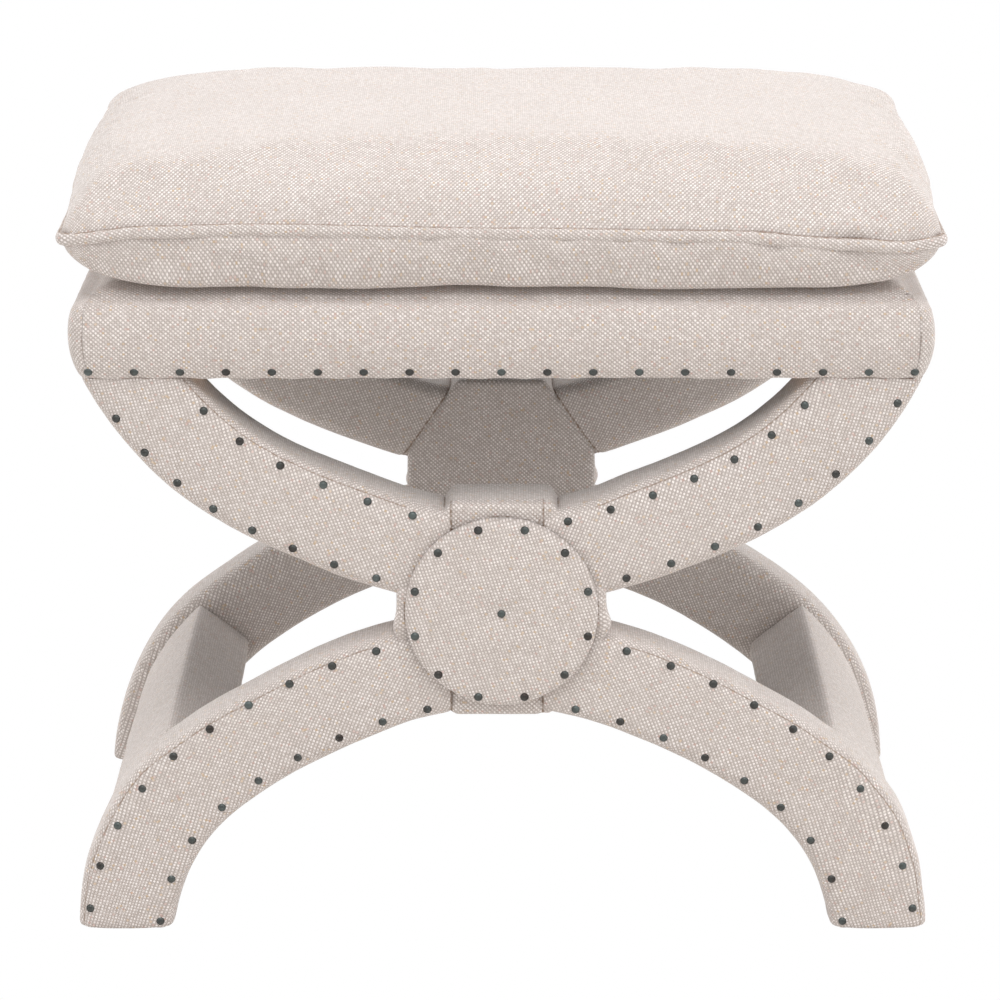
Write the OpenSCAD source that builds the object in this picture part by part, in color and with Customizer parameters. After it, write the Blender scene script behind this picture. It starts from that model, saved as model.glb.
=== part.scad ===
// Upholstered ottoman on two crossed-curve frames.
// Each frame is an arch of two legs under a bowl of two arms, joined at a hub block
// that carries a round padded medallion. Two curved stretchers tie the frames together
// near the floor, and the arms carry a boxed seat with a loose-filled pillow on top.
// Millimetres, +Z up, origin on the floor under the middle, front face towards -Y.

/* [Frames] */
// Distance over the outer faces of the front and rear frame
frames_depth = 438; // [380:1:520]
// Thickness of a frame over its padding, front to back
frame_t = 54; // [46:1:70]
// Width of an arm or leg over its padding, seen from the front
band_w = 64; // [54:1:76]
// Padding and cloth over the wood of the frames
wrap_t = 7; // [4:0.5:9]
// Radius of the padded edges of arms, legs and stretchers
band_round = 7; // [3:0.5:9]

/* [Hub] */
// Height of the hub's middle above the floor
hub_z = 236; // [225:1:250]
// Half of the hub's width
hub_half_w = 72.5; // [68:0.5:80]
// Half of the hub's height
hub_half_h = 76.5; // [74:0.5:80]
// Half of the flat at the hub's top and bottom
hub_top_half = 34.5; // [28:0.5:40]
// Half of the flat on each side of the hub
hub_side_half = 21; // [15:0.5:28]
// How far the hub's faces stand out from the arms and legs
hub_proud = 1.5; // [0.5:0.1:3]

/* [Legs] */
// Where a leg's middle line leaves the hub, out from the middle
leg_start_x = 54.5; // [48:0.5:60]
// How far below the hub's middle that point lies
leg_start_drop = 47; // [42:0.5:52]
// Fall of the leg where it leaves the hub, in degrees
leg_fall = 13; // [10:0.5:16]
// Radius of the leg's long upper curve
leg_long_r = 388; // [340:1:460]
// Sweep of the long curve, in degrees
leg_long_sweep = 24.3; // [20:0.1:28]
// Radius of the leg's tight lower curve
leg_tight_r = 166; // [150:1:185]

/* [Arms] */
// Where an arm's middle line leaves the hub, out from the middle
arm_start_x = 47; // [42:0.5:54]
// How far above the hub's middle that point lies
arm_start_rise = 38; // [34:0.5:44]
// Rise of the arm where it leaves the hub, in degrees
arm_rise = 13.7; // [11:0.1:16]
// Radius of the arm's long inner curve
arm_long_r = 547; // [480:1:620]
// Sweep of the long curve, in degrees
arm_long_sweep = 12.9; // [10:0.1:16]
// How far inside the seat's fullest line the arm's middle line meets the seat's underside
arm_end_in = 44; // [36:0.5:52]

/* [Medallion] */
// Radius of the padded medallion
medallion_r = 67; // [55:0.5:70]
// How far the medallion stands out from the hub
medallion_t = 9; // [7:0.5:12]
// Radius of its padded edge
medallion_round = 5; // [3:0.5:6]
// Thickness of the board in it
medallion_board_t = 5; // [3:0.5:5]
// Depth of the dimple that its centre nail pulls in
medallion_dimple = 1.2; // [0.6:0.1:2]
// Nails round its edge
medallion_nails = 12; // [8:1:18]

/* [Stretchers] */
// Thickness of a stretcher over its padding
stretcher_t = 43; // [36:1:48]
// How far its outer face lies inside the legs' outer edges
stretcher_inset = 11; // [8:0.5:14]
// Height of its top outer corner above the floor
stretcher_top = 122; // [100:1:130]
// Lean of its top face from level, in degrees
stretcher_lean = 35; // [20:1:45]

/* [Seat] */
// Height of the seat box's underside
seat_z = 401; // [390:1:412]
// Height of the seat box
seat_h = 65; // [55:1:75]
// Half of the seat's width at its fullest
seat_half_w = 297; // [290:1:305]
// Half of the seat's depth at its fullest
seat_half_d = 229; // [226:1:245]
// Radius of the bulge of its padded sides
seat_bulge_r = 54; // [48:1:80]
// Height of the fullest line above the underside
seat_bulge_z = 30; // [24:1:36]
// Radius of its upright corners
seat_corner_r = 14; // [8:1:18]
// How far the upright seams of the front and rear lie inside the seat's fullest line
seat_seam_in = 11; // [6:0.5:14]
// Height of the seat rails
rail_h = 42; // [34:1:44]
// Thickness of the seat rails
rail_t = 25; // [18:1:28]
// Thickness of the deck board
deck_t = 9; // [6:1:12]
// Thickness of the cloth over the top
top_cloth_t = 1.7; // [1:0.1:2.5]
// Thickness of the dust cloth under the seat
dust_t = 1; // [0.6:0.1:1.5]

/* [Cushion] */
// Half of the pillow's width over its cord
cushion_half_w = 304.5; // [296:0.5:312]
// Half of the pillow's depth over its cord
cushion_half_d = 230; // [224:0.5:240]
// Height of the cord's middle above the seat box
cord_rise = 38; // [30:1:46]
// Diameter of the cord sewn round the pillow
cord_d = 8; // [6:0.5:10]
// Radius of the cord's middle line at the corners
cord_corner_r = 14; // [10:1:22]
// Rise of the crown above the cord
crown = 52; // [40:1:64]
// Thickness of the pillow's padded cloth
pillow_cloth_t = 3; // [2:0.5:5]

/* [Nails and fixings] */
// Diameter of a nail head
nail_d = 6; // [5:0.5:9]
// Height of a nail head
nail_h = 2; // [1.2:0.1:2.6]
// Distance from one nail to the next
nail_pitch = 32.6; // [26:0.1:38]
// Distance of the nail rows from the edges of arms and legs
nail_inset = 7; // [6:0.5:10]
// Diameter of the dowels
dowel_d = 10; // [8:0.5:12]
// Length of a dowel
dowel_l = 50; // [40:1:60]
// Shank diameter of the seat bolts
bolt_d = 8; // [6:0.5:8]
// Length of a seat bolt's shank
bolt_l = 70; // [60:1:76]
// Diameter of a glide under a foot
glide_d = 24; // [18:1:30]
// Thickness of a glide
glide_h = 2; // [1.5:0.1:4]

/* [Hidden] */

$fn = 48;
linen = "#d8cdc1";
linen_shade = "#cbbfb2";
wood = "#c9a673";
plywood = "#b98d58";
foam = "#f0e6b8";
fibre = "#f4f2ec";
pewter = "#4a4a4c";
steel = "#9a9da0";
felt = "#5b4636";
black_cloth = "#2f2d2c";

// Clearance of cores in their covers
fit = 0.3;
// Clearance of a dowel or bolt in its hole
hole_fit = 0.15;
// Overrun of every cut
over = 5;
// How much farther an arm or leg is swept into the hub before the hub cuts it
hub_run_in = 48;
// Sweep of a leg's tight curve, which ends below the floor
leg_tight_sweep = 62;
// Sweep of an arm's tight curve past the seat's underside
arm_sweep_over = 19;
// Length of the openings in the hub's cover, centred in its wall
hub_gate_l = 36;
// Padding under a foot's end
foot_wrap = 3;
// Length of a foot's glide pin, and its diameter
glide_pin_l = 14;
glide_pin_d = 4;
// Spacing of a pair of dowels, across the frame
dowel_pair = 20;
// First nail of each row, along the row from where the arm or leg leaves the hub
leg_outer_first = 28;
leg_inner_first = 3;
arm_outer_first = 35;
arm_inner_firsts = [5, 21];
// Share of the spacing at which the right arm's inner row and the left arm's outer row sit closer, set by hand
arm_close_share = 0.943;
// Least distance of a row's last nail from the foot or the seat
nail_end_gap = 4.5;
seat_nail_pitch = 31.4;
seat_nail_rise = 5;
// Corner blocks of the seat
block_w = 70;
block_d = 60;
block_h = 30;
bolt_head_d = 13;
bolt_head_h = 5;
bolt_from_rail = 8;
// Angles of the stretcher dowels on the leg's tight curve, from upright
stretcher_dowel_angles = [54, 78];
// How far inside the arm's middle line a seat bolt stands
bolt_in = 18;
// Cut in the dust cloth round an arm's top
dust_notch_in = 57;
dust_notch_gap = 2;
dust_edge = 5;
// Grid of the pillow's skin
skin_u = 18;
skin_v = 14;
// Shape shares of the pillow: how square its crown and its underside are, across and front to back
crown_squares = [7, 7];
crown_edge_share = 0.5;
under_squares = [14, 28];
under_edge_share = 0.5;

frame_y = frames_depth / 2 - frame_t / 2;
core_t = frame_t - 2 * wrap_t;
core_w = band_w - 2 * wrap_t;
foot_z = glide_h;
hub_t = frame_t + 2 * hub_proud;
stretcher_l = frames_depth - 2 * frame_t;
nail_offset = band_w / 2 - nail_inset;
rail_x = seat_half_w - seat_bulge_r + bulge_reach(seat_bulge_z) - wrap_t;
rail_y = seat_half_d - seat_bulge_r + bulge_reach(seat_bulge_z) - wrap_t;
rail_top = seat_z + rail_h;
deck_top = rail_top + deck_t;
seat_top = seat_z + seat_h;
cord_z = seat_top + cord_rise;
seam_x = seat_half_w - seat_seam_in;
arm_end_x = seat_half_w - arm_end_in;
bolt_x = arm_end_x - bolt_in;
dust_notch_x = arm_end_x - dust_notch_in;

// Reach of the seat's bulge from its centre line at a height away from its fullest line
function bulge_reach(h) = sqrt(seat_bulge_r * seat_bulge_r - h * h);

// Centre of a curve that passes a point at an angle from upright, and a point on such a curve
function curve_centre(p, a, r) = [p[0] - r * sin(a), p[1] - r * cos(a)];
function curve_point(c, a, r) = [c[0] + r * sin(a), c[1] + r * cos(a)];

// Angle that an arc length takes at a radius, in degrees
function arc_angle(s, r) = s / r * 180 / PI;

// A limb is two tangent curves: [centre, centre, long radius, tight radius, start angle, join angle].
// Heights of the arms are counted downwards, so that both limbs fall away from the hub.
function limb(p, a, r1, sweep, r2) =
    let (c1 = curve_centre(p, a, r1))
    let (join = curve_point(c1, a + sweep, r1))
    [c1, curve_centre(join, a + sweep, r2), r1, r2, a, a + sweep];

leg = limb([leg_start_x, hub_z - leg_start_drop], leg_fall, leg_long_r, leg_long_sweep, leg_tight_r);

// An arm's tight curve is as round as it must be to end under the seat's side
arm_start = [arm_start_x, -hub_z - arm_start_rise];
arm_join = curve_point(curve_centre(arm_start, arm_rise, arm_long_r), arm_rise + arm_long_sweep, arm_long_r);
arm_chord = [arm_end_x, -seat_z] - arm_join;
arm_half_turn = atan2(-arm_chord[1], arm_chord[0]) - arm_rise - arm_long_sweep;
arm_tight_r = norm(arm_chord) / (2 * sin(arm_half_turn));
arm_tight_sweep = 2 * arm_half_turn + arm_sweep_over;
arm = limb(arm_start, arm_rise, arm_long_r, arm_long_sweep, arm_tight_r);
// Spacing of an arm's two rows: inner and outer at the right, outer and inner at the left
arm_pitches = [nail_pitch * arm_close_share, nail_pitch];

// Point of a limb's row at an arc length and an offset from its middle line
function row_point(l, s, off) =
    let (long = (l[2] + off) * (l[5] - l[4]) * PI / 180)
    s < long
        ? curve_point(l[0], l[4] + arc_angle(s, l[2] + off), l[2] + off)
        : curve_point(l[1], l[5] + arc_angle(s - long, l[3] + off), l[3] + off);

// Length of such a row down to a height, and the number of nails in it
function row_length(l, off, end) =
    let (stop = acos((end - l[1][1]) / (l[3] + off)))
    ((l[2] + off) * (l[5] - l[4]) + (l[3] + off) * (stop - l[5])) * PI / 180;
function row_count(l, off, first, end, pitch) =
    floor((row_length(l, off, end) - first - nail_end_gap) / pitch) + 1;

// Hub outline, drawn in by a distance on every side
function hub_quarter(d) =
    let (run = hub_half_w - hub_top_half, fall = hub_half_h - hub_side_half)
    let (len = sqrt(run * run + fall * fall))
    let (nx = fall / len, nz = run / len)
    [
        [hub_top_half - d * (1 - nz) / nx, hub_half_h - d],
        [hub_half_w - d, hub_half_h - (d * (1 - nx) + nx * run) / nz]
    ];
function hub_outline(d) =
    let (q = hub_quarter(d))
    [q[0], q[1], [q[1][0], -q[1][1]], [q[0][0], -q[0][1]],
     [-q[0][0], -q[0][1]], [-q[1][0], -q[1][1]], [-q[1][0], q[1][1]], [-q[0][0], q[0][1]]];

// Copies for the four corners
module to_corner(left, rear) {
    mirror([left ? 1 : 0, 0, 0]) mirror([0, rear ? 1 : 0, 0]) children();
}

module rear_if(rear) {
    mirror([0, rear ? 1 : 0, 0]) children();
}

// Rectangle across a limb, with rounded corners if it has a radius
module section(w, t, r) {
    square([w - 2 * r, t], center = true);
    square([w, t - 2 * r], center = true);
    if (r > 0)
        for (x = [-1, 1], y = [-1, 1])
            translate([x * (w / 2 - r), y * (t / 2 - r)]) circle(r);
}

// A curve of a limb that starts square on the plane x = 0 and bends down towards -x
module bend(r, sweep, w, t, round) {
    translate([0, 0, -r])
        rotate([90, 0, 0])
            rotate([0, 0, 90])
                rotate_extrude(angle = sweep, $fn = 96)
                    translate([r, 0]) section(w, t, round);
}

// A whole limb about the plane y = 0, from inside the hub to past its end
module limb_sweep(l, tight_sweep, w, t, round) {
    join = curve_point(l[0], l[5], l[2]);
    translate([join[0], 0, join[1]])
        rotate([0, l[5], 0])
            union() {
                bend(l[2], l[5] - l[4] + arc_angle(hub_run_in, l[2]), w, t, round);
                mirror([1, 0, 0]) bend(l[3], tight_sweep, w, t, round);
            }
}

// Everything below or above a height
module below(z) {
    size = 4 * seat_half_w;
    translate([-size / 2, -size / 2, z - size]) cube(size);
}

module above(z) {
    size = 4 * seat_half_w;
    translate([-size / 2, -size / 2, z]) cube(size);
}

// Octagonal prism of the hub about y = 0
module hub_prism(d, t) {
    translate([0, t / 2, hub_z])
        rotate([90, 0, 0])
            linear_extrude(t) polygon(hub_outline(d));
}

// Leg and arm on the right, about y = 0
module leg_form(grow, foot) {
    difference() {
        limb_sweep(leg, leg_tight_sweep, core_w + 2 * grow, core_t + 2 * grow, 0);
        below(foot);
    }
}

module arm_form(grow, top) {
    difference() {
        mirror([0, 0, 1])
            limb_sweep(arm, arm_tight_sweep, core_w + 2 * grow, core_t + 2 * grow, 0);
        above(top);
    }
}

// Outer forms, whose edges have their own radius
module leg_skin() {
    difference() {
        limb_sweep(leg, leg_tight_sweep, band_w, frame_t, band_round);
        below(foot_z);
        hub_prism(0, frame_t + 2 * over);
    }
}

module arm_skin() {
    difference() {
        mirror([0, 0, 1]) limb_sweep(arm, arm_tight_sweep, band_w, frame_t, band_round);
        above(seat_z);
        hub_prism(0, frame_t + 2 * over);
    }
}

// Stretcher on the right, with its long axis along y
module stretcher_form(grow, foot, length) {
    outer_r = leg_tight_r + band_w / 2 - stretcher_inset;
    mid_r = outer_r - stretcher_t / 2;
    top_a = acos((stretcher_top - leg[1][1]) / outer_r);
    corner = curve_point(leg[1], top_a, outer_r);
    difference() {
        translate([leg[1][0], length / 2, leg[1][1]])
            rotate([90, 0, 0])
                linear_extrude(length)
                    difference() {
                        circle(mid_r + stretcher_t / 2 - wrap_t + grow, $fn = 96);
                        circle(mid_r - stretcher_t / 2 + wrap_t - grow, $fn = 96);
                        translate([-2 * outer_r, -outer_r - over])
                            square([2 * outer_r, 2 * outer_r + 2 * over]);
                    }
        below(foot);
        translate([corner[0], 0, corner[1]])
            rotate([0, -stretcher_lean, 0])
                translate([-2 * outer_r, -length, grow - wrap_t])
                    cube([4 * outer_r, 2 * length, outer_r]);
    }
}

stretcher_core_l = stretcher_l + 2 * wrap_t;

// Dowels of the frames, at the middle of each limb where it meets the hub's wood
function hub_joint(l) = curve_point(l[0], l[4], l[2]);

module dowel_pair_at(p, tilt) {
    for (y = [-1, 1])
        translate([p[0], y * dowel_pair / 2, p[1]])
            rotate([0, 90 + tilt, 0])
                children();
}

module frame_dowel_set(grow) {
    for (x = [0, 1]) mirror([x, 0, 0]) {
        dowel_pair_at(hub_joint(leg), leg_fall)
            cylinder(d = dowel_d + 2 * grow, h = dowel_l + 2 * grow, center = true);
        mirror([0, 0, 1])
            dowel_pair_at(hub_joint(arm), arm_rise)
                cylinder(d = dowel_d + 2 * grow, h = dowel_l + 2 * grow, center = true);
    }
}

// Dowels of the stretchers, one high and one low in each end of each
module stretcher_dowel_set(grow) {
    r = leg_tight_r + band_w / 2 - stretcher_inset - stretcher_t / 2;
    for (left = [false, true], rear = [false, true], a = stretcher_dowel_angles)
        to_corner(left, rear) {
            p = curve_point(leg[1], a, r);
            translate([p[0], -stretcher_core_l / 2, p[1]])
                rotate([90, 0, 0])
                    cylinder(d = dowel_d + 2 * grow, h = dowel_l + 2 * grow, center = true);
        }
}

// Bolts that hold the arms to the seat
bolt_y = rail_y - rail_t - bolt_from_rail;

module seat_bolt_set(grow) {
    for (left = [false, true], rear = [false, true])
        to_corner(left, rear)
            translate([bolt_x, -bolt_y, seat_z + block_h])
                union() {
                    translate([0, 0, -bolt_l - grow])
                        cylinder(d = bolt_d + 2 * grow, h = bolt_l + over * (grow > 0 ? 1 : 0) + grow);
                    if (grow == 0) cylinder(d = bolt_head_d, h = bolt_head_h);
                }
}

// Glide pins go up into the legs' wood
function foot_x() = leg[1][0] + sqrt(leg_tight_r * leg_tight_r - leg[1][1] * leg[1][1]);

module glide_pin_set(grow) {
    for (left = [false, true], rear = [false, true])
        to_corner(left, rear)
            translate([foot_x(), -frame_y, 0])
                cylinder(d = glide_pin_d + 2 * grow, h = foot_z + glide_pin_l + grow);
}

// Wooden cores
module hub_core(rear) {
    color(plywood)
        difference() {
            rear_if(rear) translate([0, -frame_y, 0]) hub_prism(wrap_t, core_t);
            rear_if(rear) translate([0, -frame_y, 0]) frame_dowel_set(hole_fit);
        }
}

module arm_core(left, rear) {
    color(plywood)
        difference() {
            to_corner(left, rear)
                translate([0, -frame_y, 0])
                    difference() {
                        arm_form(0, seat_z);
                        hub_prism(wrap_t, frame_t);
                    }
            rear_if(rear) translate([0, -frame_y, 0]) frame_dowel_set(hole_fit);
            seat_bolt_set(hole_fit);
        }
}

module leg_core(left, rear) {
    color(plywood)
        difference() {
            to_corner(left, rear)
                translate([0, -frame_y, 0])
                    difference() {
                        leg_form(0, foot_z + foot_wrap);
                        hub_prism(wrap_t, frame_t);
                    }
            rear_if(rear) translate([0, -frame_y, 0]) frame_dowel_set(hole_fit);
            stretcher_dowel_set(hole_fit);
            glide_pin_set(hole_fit);
        }
}

module stretcher_core(left) {
    color(plywood)
        difference() {
            to_corner(left, false) stretcher_form(0, foot_z + foot_wrap, stretcher_core_l);
            stretcher_dowel_set(hole_fit);
        }
}

// Opening in the hub's cover where the wood of a limb goes through, straight along the limb
module hub_gate(l) {
    tilt = l[4] - arc_angle(wrap_t / 2, l[2]);
    p = curve_point(l[0], tilt, l[2]);
    translate([p[0], 0, p[1]])
        rotate([0, tilt, 0])
            cube([hub_gate_l, core_t + fit, core_w + 2 * fit], center = true);
}

// Padded covers
module hub_cover(rear) {
    color(linen_shade)
        rear_if(rear)
            translate([0, -frame_y, 0])
                difference() {
                    hub_prism(0, hub_t);
                    hub_prism(wrap_t - fit, core_t + 2 * fit);
                    for (x = [0, 1]) mirror([x, 0, 0]) {
                        hub_gate(leg);
                        mirror([0, 0, 1]) hub_gate(arm);
                    }
                }
}

module arm_cover(left, rear) {
    color(linen)
        to_corner(left, rear)
            translate([0, -frame_y, 0])
                difference() {
                    arm_skin();
                    arm_form(fit, seat_z + over);
                }
}

module leg_cover(left, rear) {
    color(linen)
        difference() {
            to_corner(left, rear)
                difference() {
                    translate([0, -frame_y, 0])
                        difference() {
                            leg_skin();
                            leg_form(fit, foot_z + foot_wrap - fit);
                        }
                    stretcher_form(fit, foot_z + foot_wrap - fit, stretcher_core_l + 2 * fit);
                }
            glide_pin_set(hole_fit);
        }
}

module stretcher_cover(left) {
    color(linen_shade)
        to_corner(left, false)
            difference() {
                stretcher_form(wrap_t, foot_z, stretcher_l);
                stretcher_form(fit, foot_z + foot_wrap - fit, stretcher_l + 2 * over);
            }
}

// Medallions: a board with padded cloth drawn over it. The dimple is as wide as two nail heads.
dimple_r = (nail_d * nail_d / medallion_dimple + medallion_dimple) / 2;
dimple_seat = medallion_dimple - dimple_r + sqrt(dimple_r * dimple_r - nail_d * nail_d / 4);

module medallion_profile() {
    dome = medallion_t - medallion_round;
    square([medallion_r, dome]);
    square([medallion_r - medallion_round, medallion_t]);
    translate([medallion_r - medallion_round, dome]) circle(medallion_round);
}

module medallion_cover(rear) {
    color(linen)
        rear_if(rear)
            translate([0, -frame_y - hub_t / 2, hub_z])
                rotate([90, 0, 0])
                    difference() {
                        rotate_extrude($fn = 96) intersection() {
                            medallion_profile();
                            square(medallion_r + over);
                        }
                        translate([0, 0, -over])
                            cylinder(r = medallion_r - medallion_round + fit, h = medallion_board_t + fit + over);
                        translate([0, 0, medallion_t - medallion_dimple + dimple_r]) sphere(dimple_r);
                    }
}

module medallion_board(rear) {
    color(plywood)
        rear_if(rear)
            translate([0, -frame_y - hub_t / 2, hub_z])
                rotate([90, 0, 0])
                    cylinder(r = medallion_r - medallion_round, h = medallion_board_t);
}

// Domed nail head, its flat back on z = 0
module nail_head() {
    dome_r = (nail_d * nail_d / 4 + nail_h * nail_h) / (2 * nail_h);
    rotate_extrude($fn = 24)
        intersection() {
            translate([0, nail_h - dome_r]) circle(dome_r);
            square([nail_d, nail_h]);
        }
}

module medallion_nail_set(rear) {
    face = -frame_y - hub_t / 2 - medallion_t;
    color(pewter)
        rear_if(rear)
            translate([0, face, hub_z])
                rotate([90, 0, 0]) {
                    for (i = [0:medallion_nails - 1])
                        rotate([0, 0, (i + 0.5) * 360 / medallion_nails])
                            translate([medallion_r - medallion_round, 0, 0]) nail_head();
                    translate([0, 0, -dimple_seat]) nail_head();
                }
}

// One row of nails along a limb, down to a height
module nail_row(l, first, end, off, pitch) {
    for (i = [0:row_count(l, off, first, end, pitch) - 1]) {
        p = row_point(l, first + i * pitch, off);
        translate([p[0], 0, p[1]]) rotate([90, 0, 0]) nail_head();
    }
}

module frame_nail_set(rear) {
    color(pewter)
        rear_if(rear)
            translate([0, -frame_y - frame_t / 2, 0])
                for (x = [0, 1]) mirror([x, 0, 0]) {
                    nail_row(leg, leg_outer_first, foot_z, nail_offset, nail_pitch);
                    nail_row(leg, leg_inner_first, foot_z, -nail_offset, nail_pitch);
                    mirror([0, 0, 1]) {
                        nail_row(arm, arm_outer_first, -seat_z, nail_offset, arm_pitches[1 - x]);
                        nail_row(arm, arm_inner_firsts[x], -seat_z, -nail_offset, arm_pitches[x]);
                    }
                }
}

// Seat box
module side_profile(half) {
    intersection() {
        translate([-half - over, seat_z]) square([2 * half + 2 * over, seat_h]);
        union() {
            translate([seat_bulge_r - half, seat_z]) square([2 * half - 2 * seat_bulge_r, seat_h]);
            for (x = [-1, 1])
                translate([x * (half - seat_bulge_r), seat_z + seat_bulge_z])
                    circle(seat_bulge_r, $fn = 96);
        }
    }
}

module seat_form() {
    intersection() {
        translate([0, seat_half_d + over, 0])
            rotate([90, 0, 0])
                linear_extrude(2 * seat_half_d + 2 * over) side_profile(seat_half_w);
        translate([-seat_half_w - over, 0, 0])
            rotate([90, 0, 90])
                linear_extrude(2 * seat_half_w + 2 * over) side_profile(seat_half_d);
        translate([0, 0, seat_z])
            linear_extrude(seat_h)
                section(2 * seat_half_w, 2 * seat_half_d, seat_corner_r);
    }
}

module boxing_front(rear) {
    color(linen)
        rear_if(rear)
            intersection() {
                seat_form();
                translate([-seam_x, -rail_y - 2 * seat_half_d, seat_z - over])
                    cube([2 * seam_x, 2 * seat_half_d, seat_h + 2 * over]);
            }
}

module boxing_side(left) {
    color(linen)
        to_corner(left, false)
            intersection() {
                seat_form();
                union() {
                    translate([rail_x, -rail_y, seat_z - over])
                        cube([2 * seat_half_w, 2 * rail_y, seat_h + 2 * over]);
                    translate([seam_x, -2 * seat_half_d, seat_z - over])
                        cube([2 * seat_half_w, 4 * seat_half_d, seat_h + 2 * over]);
                }
            }
}

module seat_slab(z, h) {
    translate([-rail_x, -rail_y, z]) cube([2 * rail_x, 2 * rail_y, h]);
}

module seat_deck() {
    color(plywood) seat_slab(rail_top, deck_t);
}

module seat_foam() {
    color(foam) seat_slab(deck_top, seat_top - top_cloth_t - deck_top);
}

module seat_top_cloth() {
    color(linen) seat_slab(seat_top - top_cloth_t, top_cloth_t);
}

module long_rail(rear) {
    color(wood)
        rear_if(rear)
            translate([-rail_x, -rail_y, seat_z]) cube([2 * rail_x, rail_t, rail_h]);
}

module short_rail(left) {
    color(wood)
        to_corner(left, false)
            translate([rail_x - rail_t, rail_t - rail_y, seat_z])
                cube([rail_t, 2 * (rail_y - rail_t), rail_h]);
}

module corner_block_set() {
    color(wood)
        difference() {
            for (left = [false, true], rear = [false, true])
                to_corner(left, rear)
                    translate([rail_x - rail_t, rail_t - rail_y, seat_z])
                        linear_extrude(block_h)
                            polygon([[0, 0], [-block_w, 0], [0, block_d]]);
            seat_bolt_set(hole_fit);
        }
}

module dust_cloth() {
    notch_y = frame_y - frame_t / 2 - dust_notch_gap;
    color(black_cloth)
        translate([0, 0, seat_z - dust_t])
            linear_extrude(dust_t) {
                square([2 * (rail_x - dust_edge), 2 * notch_y], center = true);
                square([2 * dust_notch_x, 2 * (rail_y - dust_edge)], center = true);
            }
}

// Nails along the foot of the boxing, square to its bulge
function along(half, pitch) = let (n = floor(half / pitch)) [for (i = [-n:n]) i * pitch];

module seat_nail_side(half, reach) {
    tip = asin((seat_bulge_z - seat_nail_rise) / seat_bulge_r);
    for (x = along(half, seat_nail_pitch))
        translate([x, seat_bulge_r - reach, seat_z + seat_bulge_z])
            rotate([90 + tip, 0, 0])
                translate([0, 0, seat_bulge_r + fit / 2]) nail_head();
}

module seat_nail_set() {
    color(pewter)
        for (turn = [0, 180]) rotate([0, 0, turn]) {
            seat_nail_side(seat_half_w - seat_corner_r, seat_half_d);
            rotate([0, 0, 90]) seat_nail_side(seat_half_d - seat_corner_r, seat_half_w);
        }
}

// Pillow: a crowned skin on a grid, with a band at its widest line for the cord
function skin_share(i, n) = sin(90 * (2 * i / n - 1));
function bow(u, v, squares, edge_share) =
    pow((1 - pow(abs(u), squares[0])) * (1 - pow(abs(v), squares[1])), edge_share);
function tucked(x, y, hx, hy, r) =
    let (dx = abs(x) - hx + r, dy = abs(y) - hy + r, len = norm([dx, dy]))
    dx > 0 && dy > 0 && len > r
        ? [sign(x) * (hx - r + dx * r / len), sign(y) * (hy - r + dy * r / len)]
        : [x, y];

function skin_layer(hx, hy, r, base, rise, squares, edge_share) = [
    for (j = [0:skin_v]) for (i = [0:skin_u])
        let (u = skin_share(i, skin_u), v = skin_share(j, skin_v))
        let (p = tucked(hx * u, hy * v, hx, hy, r))
        [p[0], p[1], base + rise * bow(u, v, squares, edge_share)]
];

module pillow_form(inset) {
    row = skin_u + 1;
    count = row * (skin_v + 1);
    hx = cushion_half_w - cord_d - fit - inset;
    hy = cushion_half_d - cord_d - fit - inset;
    r = cord_corner_r - cord_d / 2 - fit;
    half_band = cord_d / 2 - inset / 2;
    top = skin_layer(hx, hy, r, cord_z + half_band, crown - cord_d / 2 - inset / 2,
        crown_squares, crown_edge_share);
    bottom = skin_layer(hx, hy, r, cord_z - half_band, -(cord_rise - fit - half_band - inset),
        under_squares, under_edge_share);
    edge = concat(
        [for (i = [0:skin_u - 1]) i],
        [for (j = [0:skin_v - 1]) skin_u + j * row],
        [for (i = [0:skin_u - 1]) skin_v * row + skin_u - i],
        [for (j = [0:skin_v - 1]) (skin_v - j) * row]
    );
    n = len(edge);
    polyhedron(
        points = concat(top, bottom),
        faces = concat(
            [for (j = [0:skin_v - 1], i = [0:skin_u - 1]) let (a = j * row + i) [a, a + row + 1, a + 1]],
            [for (j = [0:skin_v - 1], i = [0:skin_u - 1]) let (a = j * row + i) [a, a + row, a + row + 1]],
            [for (j = [0:skin_v - 1], i = [0:skin_u - 1])
                let (a = count + j * row + i) [a, a + 1, a + row + 1]],
            [for (j = [0:skin_v - 1], i = [0:skin_u - 1])
                let (a = count + j * row + i) [a, a + row + 1, a + row]],
            [for (k = [0:n - 1]) let (a = edge[k], b = edge[(k + 1) % n]) [a, b, b + count]],
            [for (k = [0:n - 1]) let (a = edge[k], b = edge[(k + 1) % n]) [a, b + count, a + count]]
        )
    );
}

module cushion_cover() {
    color(linen)
        difference() {
            pillow_form(0);
            pillow_form(pillow_cloth_t);
        }
}

module cushion_fill() {
    color(fibre) pillow_form(pillow_cloth_t + fit);
}

module cord_run(length) {
    rotate([0, 90, 0]) cylinder(d = cord_d, h = length, center = true);
}

module cushion_cord() {
    hx = cushion_half_w - cord_d / 2;
    hy = cushion_half_d - cord_d / 2;
    color(linen_shade)
        translate([0, 0, cord_z]) {
            for (y = [-1, 1]) translate([0, y * hy, 0]) cord_run(2 * (hx - cord_corner_r));
            for (x = [-1, 1])
                translate([x * hx, 0, 0]) rotate([0, 0, 90]) cord_run(2 * (hy - cord_corner_r));
            for (left = [false, true], rear = [false, true])
                to_corner(left, rear)
                    translate([hx - cord_corner_r, cord_corner_r - hy, 0])
                        rotate([0, 0, -90])
                            rotate_extrude(angle = 90, $fn = 48)
                                translate([cord_corner_r, 0]) circle(d = cord_d, $fn = 24);
        }
}

module frame_dowel_group() {
    color(wood)
        for (rear = [false, true])
            rear_if(rear) translate([0, -frame_y, 0]) frame_dowel_set(0);
}

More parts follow.
